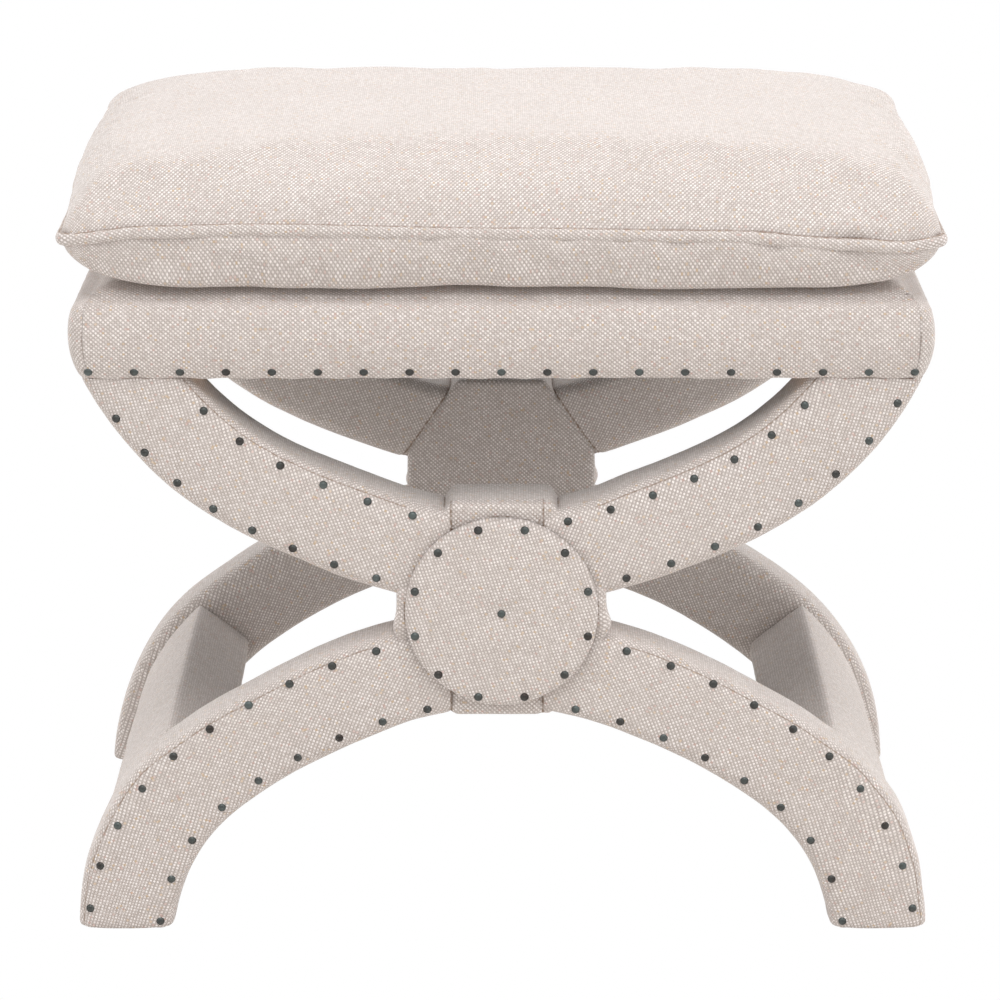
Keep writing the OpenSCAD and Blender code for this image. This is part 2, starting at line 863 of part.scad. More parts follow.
module stretcher_dowel_group() {
    color(wood) stretcher_dowel_set(0);
}

module seat_bolt_group() {
    color(steel) seat_bolt_set(0);
}

module foot_glide_group() {
    color(felt) {
        glide_pin_set(0);
        for (left = [false, true], rear = [false, true])
            to_corner(left, rear)
                translate([foot_x(), -frame_y, 0]) cylinder(d = glide_d, h = glide_h);
    }
}

hub_core(false);  // front_hub_core
hub_core(true);  // rear_hub_core
arm_core(true, false);  // front_left_arm_core
arm_core(false, false);  // front_right_arm_core
arm_core(true, true);  // rear_left_arm_core
arm_core(false, true);  // rear_right_arm_core
leg_core(true, false);  // front_left_leg_core
leg_core(false, false);  // front_right_leg_core
leg_core(true, true);  // rear_left_leg_core
leg_core(false, true);  // rear_right_leg_core
hub_cover(false);  // front_hub_cover
hub_cover(true);  // rear_hub_cover
arm_cover(true, false);  // front_left_arm_cover
arm_cover(false, false);  // front_right_arm_cover
arm_cover(true, true);  // rear_left_arm_cover
arm_cover(false, true);  // rear_right_arm_cover
leg_cover(true, false);  // front_left_leg_cover
leg_cover(false, false);  // front_right_leg_cover
leg_cover(true, true);  // rear_left_leg_cover
leg_cover(false, true);  // rear_right_leg_cover
medallion_board(false);  // front_medallion_board
medallion_board(true);  // rear_medallion_board
medallion_cover(false);  // front_medallion_cover
medallion_cover(true);  // rear_medallion_cover
medallion_nail_set(false);  // front_medallion_nails
medallion_nail_set(true);  // rear_medallion_nails
frame_nail_set(false);  // front_frame_nails
frame_nail_set(true);  // rear_frame_nails
stretcher_core(true);  // left_stretcher_core
stretcher_core(false);  // right_stretcher_core
stretcher_cover(true);  // left_stretcher_cover
stretcher_cover(false);  // right_stretcher_cover
long_rail(false);  // front_seat_rail
long_rail(true);  // rear_seat_rail
short_rail(true);  // left_seat_rail
short_rail(false);  // right_seat_rail
corner_block_set();  // corner_blocks
seat_deck();
seat_foam();
seat_top_cloth();
boxing_front(false);  // front_boxing
boxing_front(true);  // rear_boxing
boxing_side(true);  // left_boxing
boxing_side(false);  // right_boxing
seat_nail_set();  // seat_nails
dust_cloth();
cushion_fill();
cushion_cover();
cushion_cord();
frame_dowel_group();  // frame_dowels
stretcher_dowel_group();  // stretcher_dowels
seat_bolt_group();  // seat_bolts
foot_glide_group();  // foot_glides
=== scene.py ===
"""Looks of an upholstered ottoman on two crossed-curve frames.

A pillow with a self-welt is sewn on a boxed seat. The seat rests on two padded frames, each an arch of two
legs under a bowl of two arms, joined at a hub behind a round medallion. Two curved stretchers tie the frames.
All of it wears one bisque linen with small pewter nails.
"""
import logging
import math
from dataclasses import dataclass
from enum import Enum
from functools import partial
from typing import Callable, Iterable

import bmesh
import bpy
from bmesh.types import BMEdge, BMesh, BMFace, BMVert
from bpy.types import Material, Node, NodeSocket, NodeTree, Object
from mathutils import Matrix, Vector, noise


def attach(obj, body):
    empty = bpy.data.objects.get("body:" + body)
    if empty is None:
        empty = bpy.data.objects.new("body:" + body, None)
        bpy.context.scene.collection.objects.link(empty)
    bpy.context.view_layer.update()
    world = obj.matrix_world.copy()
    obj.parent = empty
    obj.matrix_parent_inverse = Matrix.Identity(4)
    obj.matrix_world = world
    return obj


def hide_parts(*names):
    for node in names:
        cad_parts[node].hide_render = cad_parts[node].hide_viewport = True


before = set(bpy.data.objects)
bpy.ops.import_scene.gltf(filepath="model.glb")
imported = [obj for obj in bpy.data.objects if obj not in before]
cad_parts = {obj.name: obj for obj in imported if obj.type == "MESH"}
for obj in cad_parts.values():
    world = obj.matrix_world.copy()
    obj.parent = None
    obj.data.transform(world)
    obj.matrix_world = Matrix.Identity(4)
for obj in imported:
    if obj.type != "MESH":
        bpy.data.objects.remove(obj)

LOG = logging.getLogger("ottoman")
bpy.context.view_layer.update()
MM = 0.001
X_AXIS, Y_AXIS, Z_AXIS = Vector((1, 0, 0)), Vector((0, 1, 0)), Vector((0, 0, 1))
CLOTH_UV = "cloth"
# Distance to the nearest seam, and to creases that get painted shade: the linen draws one brown line along both
SEAM_AND_CREASE_SHADE_MARK = "seam"
NO_SEAM = 1.0

Point = tuple[float, float, float]
Pair = tuple[float, float]
Move = tuple[BMVert, Vector]


class Slot(Enum):
    """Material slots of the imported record."""

    LINEN = "linen"
    DUST = "dust_cloth"


def srgb(code: str) -> tuple[float, float, float, float]:
    """Turn a six-digit sRGB hex value into linear light.

    Args:
        code: Hex digits without a leading mark.

    Returns:
        Linear red, green, blue and an alpha of one.
    """
    parts = [int(code[i:i + 2], 16) / 255 for i in (0, 2, 4)]
    linear = [p / 12.92 if p <= 0.04045 else ((p + 0.055) / 1.055) ** 2.4 for p in parts]
    return (linear[0], linear[1], linear[2], 1.0)


def new_material(name: str) -> tuple[Material, NodeTree]:
    """Start a material.

    Args:
        name: What the real material is.

    Returns:
        The material and its empty node tree.
    """
    mat = bpy.data.materials.new(name)
    mat.use_nodes = True
    mat.node_tree.nodes.clear()
    return mat, mat.node_tree


def add_node(tree: NodeTree, kind: str, inputs: dict | tuple = (), stops: Iterable[tuple[float, str]] = (),
             **settings: object) -> Node:
    """Add a node with its settings, fixed inputs, links and colours.

    Args:
        tree: Node tree that gets the node.
        kind: Type name of the node, without Blender's common beginning.
        inputs: Fixed values, or the nodes or sockets that feed them, in order or by name or number.
        stops: Places and hex values of the colours that it runs through.
        **settings: Properties of the node itself.

    Returns:
        The new node.
    """
    node = tree.nodes.new("ShaderNode" + kind)
    for name, value in settings.items():
        setattr(node, name, value)
    for key, value in inputs.items() if isinstance(inputs, dict) else enumerate(inputs):
        value = value.outputs[0] if isinstance(value, Node) else value
        if isinstance(value, NodeSocket):
            tree.links.new(value, node.inputs[key])
        else:
            node.inputs[key].default_value = value
    for number, (place, colour) in enumerate(stops):
        node.color_ramp.elements[number].position = place
        node.color_ramp.elements[number].color = srgb(colour)
    return node


def smooth_share(x: float, low: float, high: float) -> float:
    """Rise smoothly from 0 at low to 1 at high."""
    t = min(1.0, max(0.0, (x - low) / (high - low)))
    return t * t * (3 - 2 * t)


def bell(x: float, width: float) -> float:
    """Fall from 1 at zero to either side, over a width in millimetres."""
    return math.exp(-(x / (width * MM)) ** 2)


def follow(knots: Iterable[Pair], value: float) -> float:
    """Read a smooth line through knots, level beyond its ends.

    Args:
        knots: Places and heights in millimetres.
        value: Place in metres.

    Returns:
        Height in metres.
    """
    knots = [(a * MM, b * MM) for a, b in knots]
    for (x0, y0), (x1, y1) in zip(knots, knots[1:]):
        if x0 <= value <= x1:
            return y0 + (y1 - y0) * smooth_share(value, x0, x1)
    return knots[0][1] if value < knots[0][0] else knots[-1][1]


def ripple(point: Vector, wave: float, seed: float) -> float:
    """Give smooth noise from -1 to 1 with a wavelength in millimetres."""
    wave *= MM
    return noise.noise(Vector((point.x / wave + seed, point.y / wave - seed, point.z / wave + 2 * seed)))


@dataclass(frozen=True)
class Linen:
    """Plain-woven upholstery linen in undyed flax and cream cotton yarns, not coated or glazed.

    Pale, plump warp knots stand in a checkerboard over greyer weft, each with its own size and tone, with
    faint streaks along both threads, stray flecks of straw and rose, and the soft edge light of loose fibres.
    """

    name: str = "linen_bisque_plain_weave"
    pale: str = "E9E2DF"
    warp: str = "D3CAC6"
    weft: str = "AAA099"
    weft_pale: str = "BAB0AB"
    gap: str = "86796F"
    straw: str = "C2A47C"
    rose: str = "BE968B"
    # Brown of the stitches, also the painted shade in the creases round the medallions and along the folds
    stitch_and_crease_shade: str = "7D6755"
    warp_pitch: float = 1.70 * MM
    weft_pitch: float = 1.47 * MM
    wander: float = 1.2 * MM
    relief: float = 0.3 * MM

    def build(self) -> Material:
        """Build the material.

        Returns:
            The linen material, which reads the piece's cloth UV map and seam attribute, whose lines also paint shade
            into creases.
        """
        mat, tree = new_material(self.name)
        add = partial(add_node, tree)
        uv = add("UVMap", uv_map=CLOTH_UV)
        # Yarns wander a little from the straight
        drift = add("TexNoise", {"Vector": uv, "Scale": 70.0, "Detail": 2.0}).outputs["Color"]
        drift = add("VectorMath", (drift, (0.5, 0.5, 0.5)), operation="SUBTRACT")
        drift = add("VectorMath", {0: drift, "Scale": self.wander}, operation="SCALE")
        moved = add("VectorMath", (uv, drift), operation="ADD")
        count = add("VectorMath", (moved, (1 / self.warp_pitch, 1 / self.weft_pitch, 0.0)), operation="MULTIPLY")
        turn = add("VectorMath", {0: count, "Scale": math.pi}, operation="SCALE")
        wave = add("VectorMath", (turn,), operation="SINE")
        signed = add("SeparateXYZ", (wave,)).outputs
        plain = add("SeparateXYZ", (add("VectorMath", (wave,), operation="ABSOLUTE"),)).outputs
        over = add("Math", (signed[0], signed[1]), operation="MULTIPLY")
        warp_up = add("Math", (plain[0], over), operation="ADD")
        weft_up = add("Math", (plain[1], over), operation="SUBTRACT")
        top = add("Math", (warp_up, weft_up), operation="MAXIMUM")
        height = add("Math", (top, 0.5), operation="MULTIPLY", use_clamp=True)
        # Each crossing has its own size and tone, and each yarn its thick and thin runs
        cell = add("VectorMath", (count,), operation="FLOOR")
        knot, fleck = add("TexWhiteNoise", (cell,), noise_dimensions="2D").outputs[:2]
        warp_tone, weft_tone = (
            add("TexNoise", {"Vector": add("VectorMath", (count, stretch), operation="MULTIPLY"), "Scale": 0.9,
                             "Detail": 3.0, "Roughness": 0.6}) for stretch in ((1.0, 0.06, 1.0), (0.06, 1.0, 1.0)))
        # The yarns' twist draws the knots out along one diagonal
        slant = add("VectorMath", (turn, (1.0, 1.0, 0.0)), operation="DOT_PRODUCT").outputs["Value"]
        slant = add("Math", (slant,), operation="COSINE")
        plump = add("Math", (slant, -0.3, over), operation="MULTIPLY_ADD")
        for tone, weight in ((knot, 0.5), (warp_tone, 0.8), (weft_tone, -0.7)):
            level = add("Math", (plump, -0.5 * weight), operation="ADD")
            plump = add("Math", (tone, weight, level), operation="MULTIPLY_ADD")
        share = add("MapRange", (plump, -0.85, 0.75, 0.0, 1.0), interpolation_type="SMOOTHSTEP")
        warp_colour = add("ValToRGB", (knot,), ((0.15, self.warp), (0.95, self.pale)))
        weft_colour = add("ValToRGB", (weft_tone,), ((0.35, self.weft), (0.7, self.weft_pale)))
        layers = [(share, warp_colour)]
        layers.append((add("MapRange", (height, 0.25, 0.6, 0.5, 0.0), interpolation_type="SMOOTHSTEP"), self.gap))
        flecks = add("SeparateXYZ", (fleck,)).outputs
        for channel, colour, most in ((1, self.straw, 0.55), (2, self.rose, 0.45)):
            layers.append((add("MapRange", (flecks[channel], 0.975, 0.985, 0.0, most)), colour))
        broad = add("TexNoise", {"Vector": uv, "Scale": 14.0, "Detail": 3.0})
        layers.append((add("MapRange", (broad, 0.35, 0.7, 0.0, 0.12)), self.weft))
        # A seam shows as a thin, broken, drawn-in line of brown thread. The same line is painted shade in the creases
        # round the medallions and along the limbs' folds
        seam = add("Math", (add("Attribute", attribute_name=SEAM_AND_CREASE_SHADE_MARK).outputs["Fac"],), operation="ABSOLUTE")
        line = add("MapRange", (seam, 0.3 * MM, 1.1 * MM, 0.85, 0.0), interpolation_type="SMOOTHSTEP")
        broken = add("TexNoise", {"Vector": uv, "Scale": 260.0, "Detail": 1.0})
        broken = add("MapRange", (broken, 0.38, 0.58, 0.35, 1.0))
        line = add("Math", (line, broken), operation="MULTIPLY")
        layers.append((line, self.stitch_and_crease_shade))
        cloth = weft_colour
        for factor, colour in layers:
            colour = srgb(colour) if isinstance(colour, str) else colour
            cloth = add("Mix", {0: factor, 6: cloth, 7: colour}, data_type="RGBA").outputs[2]
        fall = add("Math", (line, 1.5), operation="MULTIPLY")
        face = add("Math", (height, fall), operation="SUBTRACT")
        bump = add("Bump", {"Height": face, "Strength": 0.35, "Distance": self.relief})
        shader = add("BsdfPrincipled", {"Base Color": cloth, "Normal": bump, "Roughness": 0.92, "IOR": 1.5,
                                        "Specular IOR Level": 0.18, "Sheen Weight": 0.22, "Sheen Roughness": 0.45})
        add("OutputMaterial", {"Surface": shader})
        return mat


@dataclass(frozen=True)
class Solid:
    """A plain stuff with mottled colour and fine bumps, such as foam, plastic or plated steel."""

    name: str
    dark: str
    light: str
    grain: float
    stretch: Point = (1.0, 1.0, 1.0)
    roughness: Pair = (0.5, 0.6)
    metallic: float = 0.0
    relief: float = 0.1 * MM
    strength: float = 0.3
    detail: float = 4.0

    def build(self) -> Material:
        """Build the material.

        Returns:
            A material that reads Object coordinates.
        """
        mat, tree = new_material(self.name)
        place = add_node(tree, "TexCoord").outputs["Object"]
        lay = add_node(tree, "Mapping", {"Vector": place, "Scale": self.stretch})
        tone = add_node(tree, "TexNoise", {"Vector": lay, "Scale": 1 / self.grain, "Detail": self.detail,
                                           "Roughness": 0.6})
        ramp = add_node(tree, "ValToRGB", (tone,), ((0.32, self.dark), (0.68, self.light)))
        matt = add_node(tree, "MapRange", {0: tone, "To Min": self.roughness[0], "To Max": self.roughness[1]})
        bump = add_node(tree, "Bump", {"Height": tone, "Strength": self.strength, "Distance": self.relief})
        shader = add_node(tree, "BsdfPrincipled", {"Base Color": ramp, "Roughness": matt, "Normal": bump,
                                                   "Metallic": self.metallic})
        add_node(tree, "OutputMaterial", {"Surface": shader})
        return mat


# Birch plywood, sawn and sanded: thin plies show as fine streaks
PLYWOOD = Solid("birch_plywood_sanded", "A87B4A", "D0A873", 9 * MM, (0.25, 6.0, 0.9), (0.55, 0.7))
# Beech, planed: short pale flecks along the rail
BEECH = Solid("beech_planed", "B98A5C", "D9B384", 7 * MM, (0.15, 1.0, 1.0), (0.5, 0.62))
# Polyurethane foam, cut: matt, with open cells
FOAM = Solid("polyurethane_foam_cut", "DCCB8E", "F0E4B4", 1.2 * MM, roughness=(0.9, 0.98), strength=0.6)
# Polyester fibre, blown: soft white tufts
FIBRE = Solid("polyester_fibre_blown", "E2DFD8", "F8F6F1", 14 * MM, roughness=(0.9, 1.0), relief=2 * MM)
# Steel, zinc plated: cool and slightly cloudy
ZINC = Solid("steel_zinc_plated", "85898D", "B4B8BC", 4 * MM, roughness=(0.28, 0.42), metallic=1.0)
# Steel nails with an antique pewter plating: dark, rubbed lighter in spots
PEWTER = Solid("steel_nail_antique_pewter", "352C29", "5C6463", 24 * MM, roughness=(0.34, 0.5), metallic=0.75,
               relief=0.15 * MM, strength=0.5, detail=8.0)
# Polyethylene, moulded: waxy and slightly soiled
GLIDE = Solid("polyethylene_moulded", "3B3029", "5B4A3E", 3 * MM, roughness=(0.45, 0.6))
# Spun-bonded polypropylene: matt black felt of fine fibres
DUST = Solid("polypropylene_spunbonded", "1E1D1C", "3A3835", 0.9 * MM, roughness=(0.85, 0.95), relief=0.2 * MM,
             strength=0.8)


def put_piece(name: str, bm: BMesh, mat: Material, slot: Slot, nodes: Iterable[str]) -> Object:
    """Turn a bmesh into a piece that rides on the object.

    Args:
        name: Name of the piece.
        bm: Finished mesh, freed here.
        mat: Its material.
        slot: Slot of the record that it takes its finish from; not used.
        nodes: CAD nodes that it stands for.

    Returns:
        The new object.
    """
    mesh = bpy.data.meshes.new(name)
    for face in bm.faces:
        face.smooth = True
    bm.to_mesh(mesh)
    bm.free()
    mesh.materials.append(mat)
    piece = bpy.data.objects.new(name, mesh)
    bpy.context.scene.collection.objects.link(piece)
    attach(piece, "root")
    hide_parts(*nodes)
    LOG.info("%s: %d faces, for %s", name, len(mesh.polygons), ", ".join(nodes))
    return piece


def put_padded(stem: str, bm: BMesh, linen: Material, nodes: Iterable[str]) -> Object:
    """Put a padded linen piece.

    Args:
        stem: Name of the piece without its ending.
        bm: Finished mesh.
        linen: The linen.
        nodes: CAD nodes that it stands for.

    Returns:
        The new object.
    """
    piece = put_piece(f"{stem}_linen", bm, linen, Slot.LINEN, nodes)
    return piece


def everything(bm: BMesh) -> list:
    """List all vertices, edges and faces."""
    return bm.verts[:] + bm.edges[:] + bm.faces[:]


def split(bm: BMesh, point: Vector, normal: Vector, clear: bool = False) -> dict:
    """Cut along a plane and clear the side that its normal points to, if asked."""
    return bmesh.ops.bisect_plane(bm, geom=everything(bm), dist=1e-6, plane_co=point, plane_no=normal,
                                  clear_outer=clear)


def cut(bm: BMesh, point: Vector, normal: Vector, cap: bool = True) -> None:
    """Cut away what lies on the side of a plane that its normal points to, and close the cut."""
    rim = [e for e in split(bm, point, normal, True)["geom_cut"] if isinstance(e, BMEdge)]
    if cap and rim:
        bmesh.ops.contextual_create(bm, geom=rim)


def ring_cuts(bm: BMesh, point: Vector, normal: Vector, depths: Iterable[float]) -> None:
    """Add loops of edges parallel to a plane, at depths in millimetres behind it."""
    for depth in depths:
        split(bm, point - normal * (depth * MM), normal)


def scaled(bm: BMesh, x: float, y: float, z: float) -> None:
    """Scale a mesh, and keep its faces outwards where that mirrors it."""
    bmesh.ops.scale(bm, vec=(x, y, z), verts=bm.verts[:])
    if x * y * z < 0:
        bmesh.ops.reverse_faces(bm, faces=bm.faces[:])


def shifted(bm: BMesh, x: float, y: float, z: float) -> None:
    """Move a mesh."""
    bmesh.ops.translate(bm, vec=(x, y, z), verts=bm.verts[:])


def rolled(bm: BMesh, angle: float, axis: str, x: float = 0, y: float = 0, z: float = 0) -> None:
    """Turn a mesh by an angle in radians round an axis through a point."""
    bmesh.ops.rotate(bm, cent=(x, y, z), matrix=Matrix.Rotation(angle, 3, axis), verts=bm.verts[:])


def evened(bm: BMesh, longest: float, step: float) -> None:
    """Part the edges that are longer than a limit into even steps."""
    for edge in [e for e in bm.edges if e.calc_length() > longest]:
        bmesh.ops.subdivide_edges(bm, edges=[edge], cuts=round(edge.calc_length() / step) - 1)


def drawn(bm: BMesh, rim: list, centre: Point, axis: Vector, angle: float, steps: int,
          slide: Point = (0, 0, 0)) -> list:
    """Draw a section round an axis, or along a slide per step, and give its last copy."""
    return bmesh.ops.spin(bm, geom=rim, cent=centre, axis=axis, dvec=slide, angle=angle, steps=steps)["geom_last"]


def faced(bm: BMesh) -> None:
    """Turn all faces outwards."""
    bmesh.ops.recalc_face_normals(bm, faces=bm.faces[:])


def seam_layer(bm: BMesh) -> object:
    """Add the layer of distances to the nearest seam and to the creases that get painted shade, and work out the
    normals.
    """
    bm.normal_update()
    return bm.verts.layers.float.new(SEAM_AND_CREASE_SHADE_MARK)


def lay_cloth(bm: BMesh, rule: Callable[[BMFace, Vector], Pair], moves: Iterable[Move] = ()) -> None:
    """Write the cloth UV map in metres of cloth, then swell the padding.

    Args:
        bm: Mesh to write to.
        rule: Gives a corner's place on the cloth from its face and point.
        moves: Moves of the vertices.
    """
    layer = bm.loops.layers.uv.new(CLOTH_UV)
    for face in bm.faces:
        for loop in face.loops:
            loop[layer].uv = rule(face, loop.vert.co)
    for v, move in moves:
        v.co += move


def turned(u: float, v: float, degrees: float) -> Pair:
    """Turn a place on the cloth by an angle."""
    a = math.radians(degrees)
    return (u * math.cos(a) + v * math.sin(a), v * math.cos(a) - u * math.sin(a))


def remeshed(bm: BMesh, voxel: float) -> BMesh:
    """Remesh a closed form into even quads with soft edges.

    Args:
        bm: Form to remesh, freed here.
        voxel: Size of a quad.

    Returns:
        The even mesh.
    """
    mesh = bpy.data.meshes.new("work")
    bm.to_mesh(mesh)
    bm.free()
    work = bpy.data.objects.new("work", mesh)
    bpy.context.scene.collection.objects.link(work)
    step = work.modifiers.new("even", "REMESH")
    step.mode, step.voxel_size = "VOXEL", voxel
    even = bpy.data.meshes.new_from_object(work.evaluated_get(bpy.context.evaluated_depsgraph_get()))
    bpy.data.objects.remove(work)
    made = bmesh.new()
    made.from_mesh(even)
    for _ in range(4):
        bmesh.ops.smooth_vert(made, verts=made.verts[:], factor=0.5, use_axis_x=True, use_axis_y=True,
                              use_axis_z=True)
    faced(made)
    return made


class Finishes:
    """The materials of the ottoman, made once."""

    def __init__(self) -> None:
        """Build every material."""
        self.linen = Linen().build()
        self.plywood, self.beech, self.foam, self.fibre = (s.build() for s in (PLYWOOD, BEECH, FOAM, FIBRE))
        self.zinc, self.pewter, self.glide, self.dust = (s.build() for s in (ZINC, PEWTER, GLIDE, DUST))


@dataclass(frozen=True)
class Nails:
    """Sizes and spacing of the nail rows, as the CAD has them."""

    seat_pitch: float = 31.4 * MM
    inset: float = 7 * MM
    dimple_mm: float = 7.5
    seat_rise: float = 5 * MM
    ring_r: float = 62 * MM


@dataclass(frozen=True)
class Limb:
    """Middle line of a right-hand arm or leg: a long curve and a tight one, tangent to it.

    An arm's heights count downwards, so that both kinds fall away from the hub.
    """

    start: Pair
    lean: float
    long_r: float
    long_sweep: float
    tight_r: float
    tight_sweep: float
    end: float
    sign: int
    rows: tuple[tuple[float, int, int, float], ...]
    left_rows: tuple[tuple[float, int, int, float], ...]
    run_in: float = 30 * MM

    def turn(self, degrees: float, radius: float, centre: Pair) -> Pair:
        """Give the point on a curve at an angle from upright."""
        a = math.radians(degrees)
        return (centre[0] + radius * math.sin(a), centre[1] + radius * math.cos(a))

    @property
    def long_centre(self) -> Pair:
        """Centre of the long curve."""
        return self.turn(self.lean, -self.long_r, self.start)

    @property
    def join(self) -> float:
        """Angle at which the two curves meet."""
        return self.lean + self.long_sweep

    @property
    def tight_centre(self) -> Pair:
        """Centre of the tight curve."""
        return self.turn(self.join, -self.tight_r, self.turn(self.join, self.long_r, self.long_centre))

    def locate(self, x: float, z: float) -> tuple[float, float, Vector]:
        """Find where a point lies on the limb.

        Args:
            x: Distance from the middle of the object.
            z: Height, counted as this limb counts it.

        Returns:
            Length from where the limb leaves the hub, offset outwards from the middle line, and the way outwards.
        """
        along, begin, radius = 0.0, self.lean, self.long_r
        away = Vector((x - self.long_centre[0], 0, z - self.long_centre[1]))
        angle = math.degrees(math.atan2(x - self.long_centre[0], z - self.long_centre[1]))
        if angle > self.join:
            along, begin, radius = math.radians(self.long_sweep) * self.long_r, self.join, self.tight_r
            away = Vector((x - self.tight_centre[0], 0, z - self.tight_centre[1]))
            angle = math.degrees(math.atan2(away.x, away.z))
        return (along + math.radians(angle - begin) * radius, away.length - radius, away.normalized())

    def row_points(self, offset: float, left: bool) -> list[Pair]:
        """Place the nails of both rows.

        Args:
            offset: Distance of a row from the middle line.
            left: Whether the limb goes to the left.

        Returns:
            Places in x and counted height.
        """
        places = []
        for first, count, side, pitch in self.left_rows if left else self.rows:
            long, tight = self.long_r + side * offset, self.tight_r + side * offset
            for i in range(count):
                past = first + i * pitch - long * math.radians(self.long_sweep)
                radius, centre = (long, self.long_centre) if past < 0 else (tight, self.tight_centre)
                places.append(self.turn(self.join + math.degrees(past / radius), radius, centre))
        return places


SEAT_Z = 401 * MM
HUB_Z = 236 * MM
PITCH, CLOSE_PITCH = 32.6 * MM, 32.6 * 0.943 * MM
LEG_ROWS = ((28 * MM, 10, 1, PITCH), (3 * MM, 9, -1, PITCH))
LEG = Limb((54.5 * MM, HUB_Z - 47 * MM), 13, 388 * MM, 24.3, 166 * MM, 62, 2 * MM, 1, LEG_ROWS, LEG_ROWS)
ARM = Limb((47 * MM, -HUB_Z - 38 * MM), 13.7, 547 * MM, 12.9, 219 * MM, 52, -SEAT_Z, -1,
           ((35 * MM, 8, 1, PITCH), (5 * MM, 7, -1, CLOSE_PITCH)),
           ((35 * MM, 8, 1, CLOSE_PITCH), (21 * MM, 6, -1, PITCH)))


# How full each sleeve is stuffed along its outer and its inner edge, against the length from the hub
FULLNESS = {
    "front_left_leg": (((30, -0.8), (110, -2.8), (165, 0), (205, 4), (255, 3), (320, 0)),
                       ((10, 0.5), (60, 3.2), (260, 3.2), (340, 0.8))),
    "front_right_leg": (((30, -0.5), (110, -2), (165, 0.5), (205, 5), (235, 7), (262, 5), (290, 2.4), (320, 0.8)),
                        ((10, 0.3), (60, 2.4), (260, 2.6), (340, 0.5))),
    "rear_left_leg": (((5, 0), (45, 4.2), (150, 5), (220, 9), (330, 9)),
                      ((20, 0), (60, -2.6), (180, -2.6), (240, -4.5), (330, -4.5))),
    "rear_right_leg": (((5, 0), (45, 3.2), (150, 4), (240, 6.5), (330, 2)), ((0, 0), (160, 0), (240, -3), (330, -3))),
    "front_left_arm": (((0, 1.6), (50, 1.8), (90, 0.3), (300, 0)), ((20, 0.8), (60, 2), (180, 1.4), (260, 0))),
    "front_right_arm": (((0, 1.6), (60, 2), (200, 2), (300, 0)), ((20, 1), (60, 3.6), (200, 3.6), (280, 0.5))),
    "rear_left_arm": (((20, -1), (60, -1), (220, -2), (300, 0)), ((0, 0), (1, 0))),
    "rear_right_arm": (((20, -2.6), (60, -3.4), (220, -3.4), (300, 0)), ((0, 0), (1, 0)))}


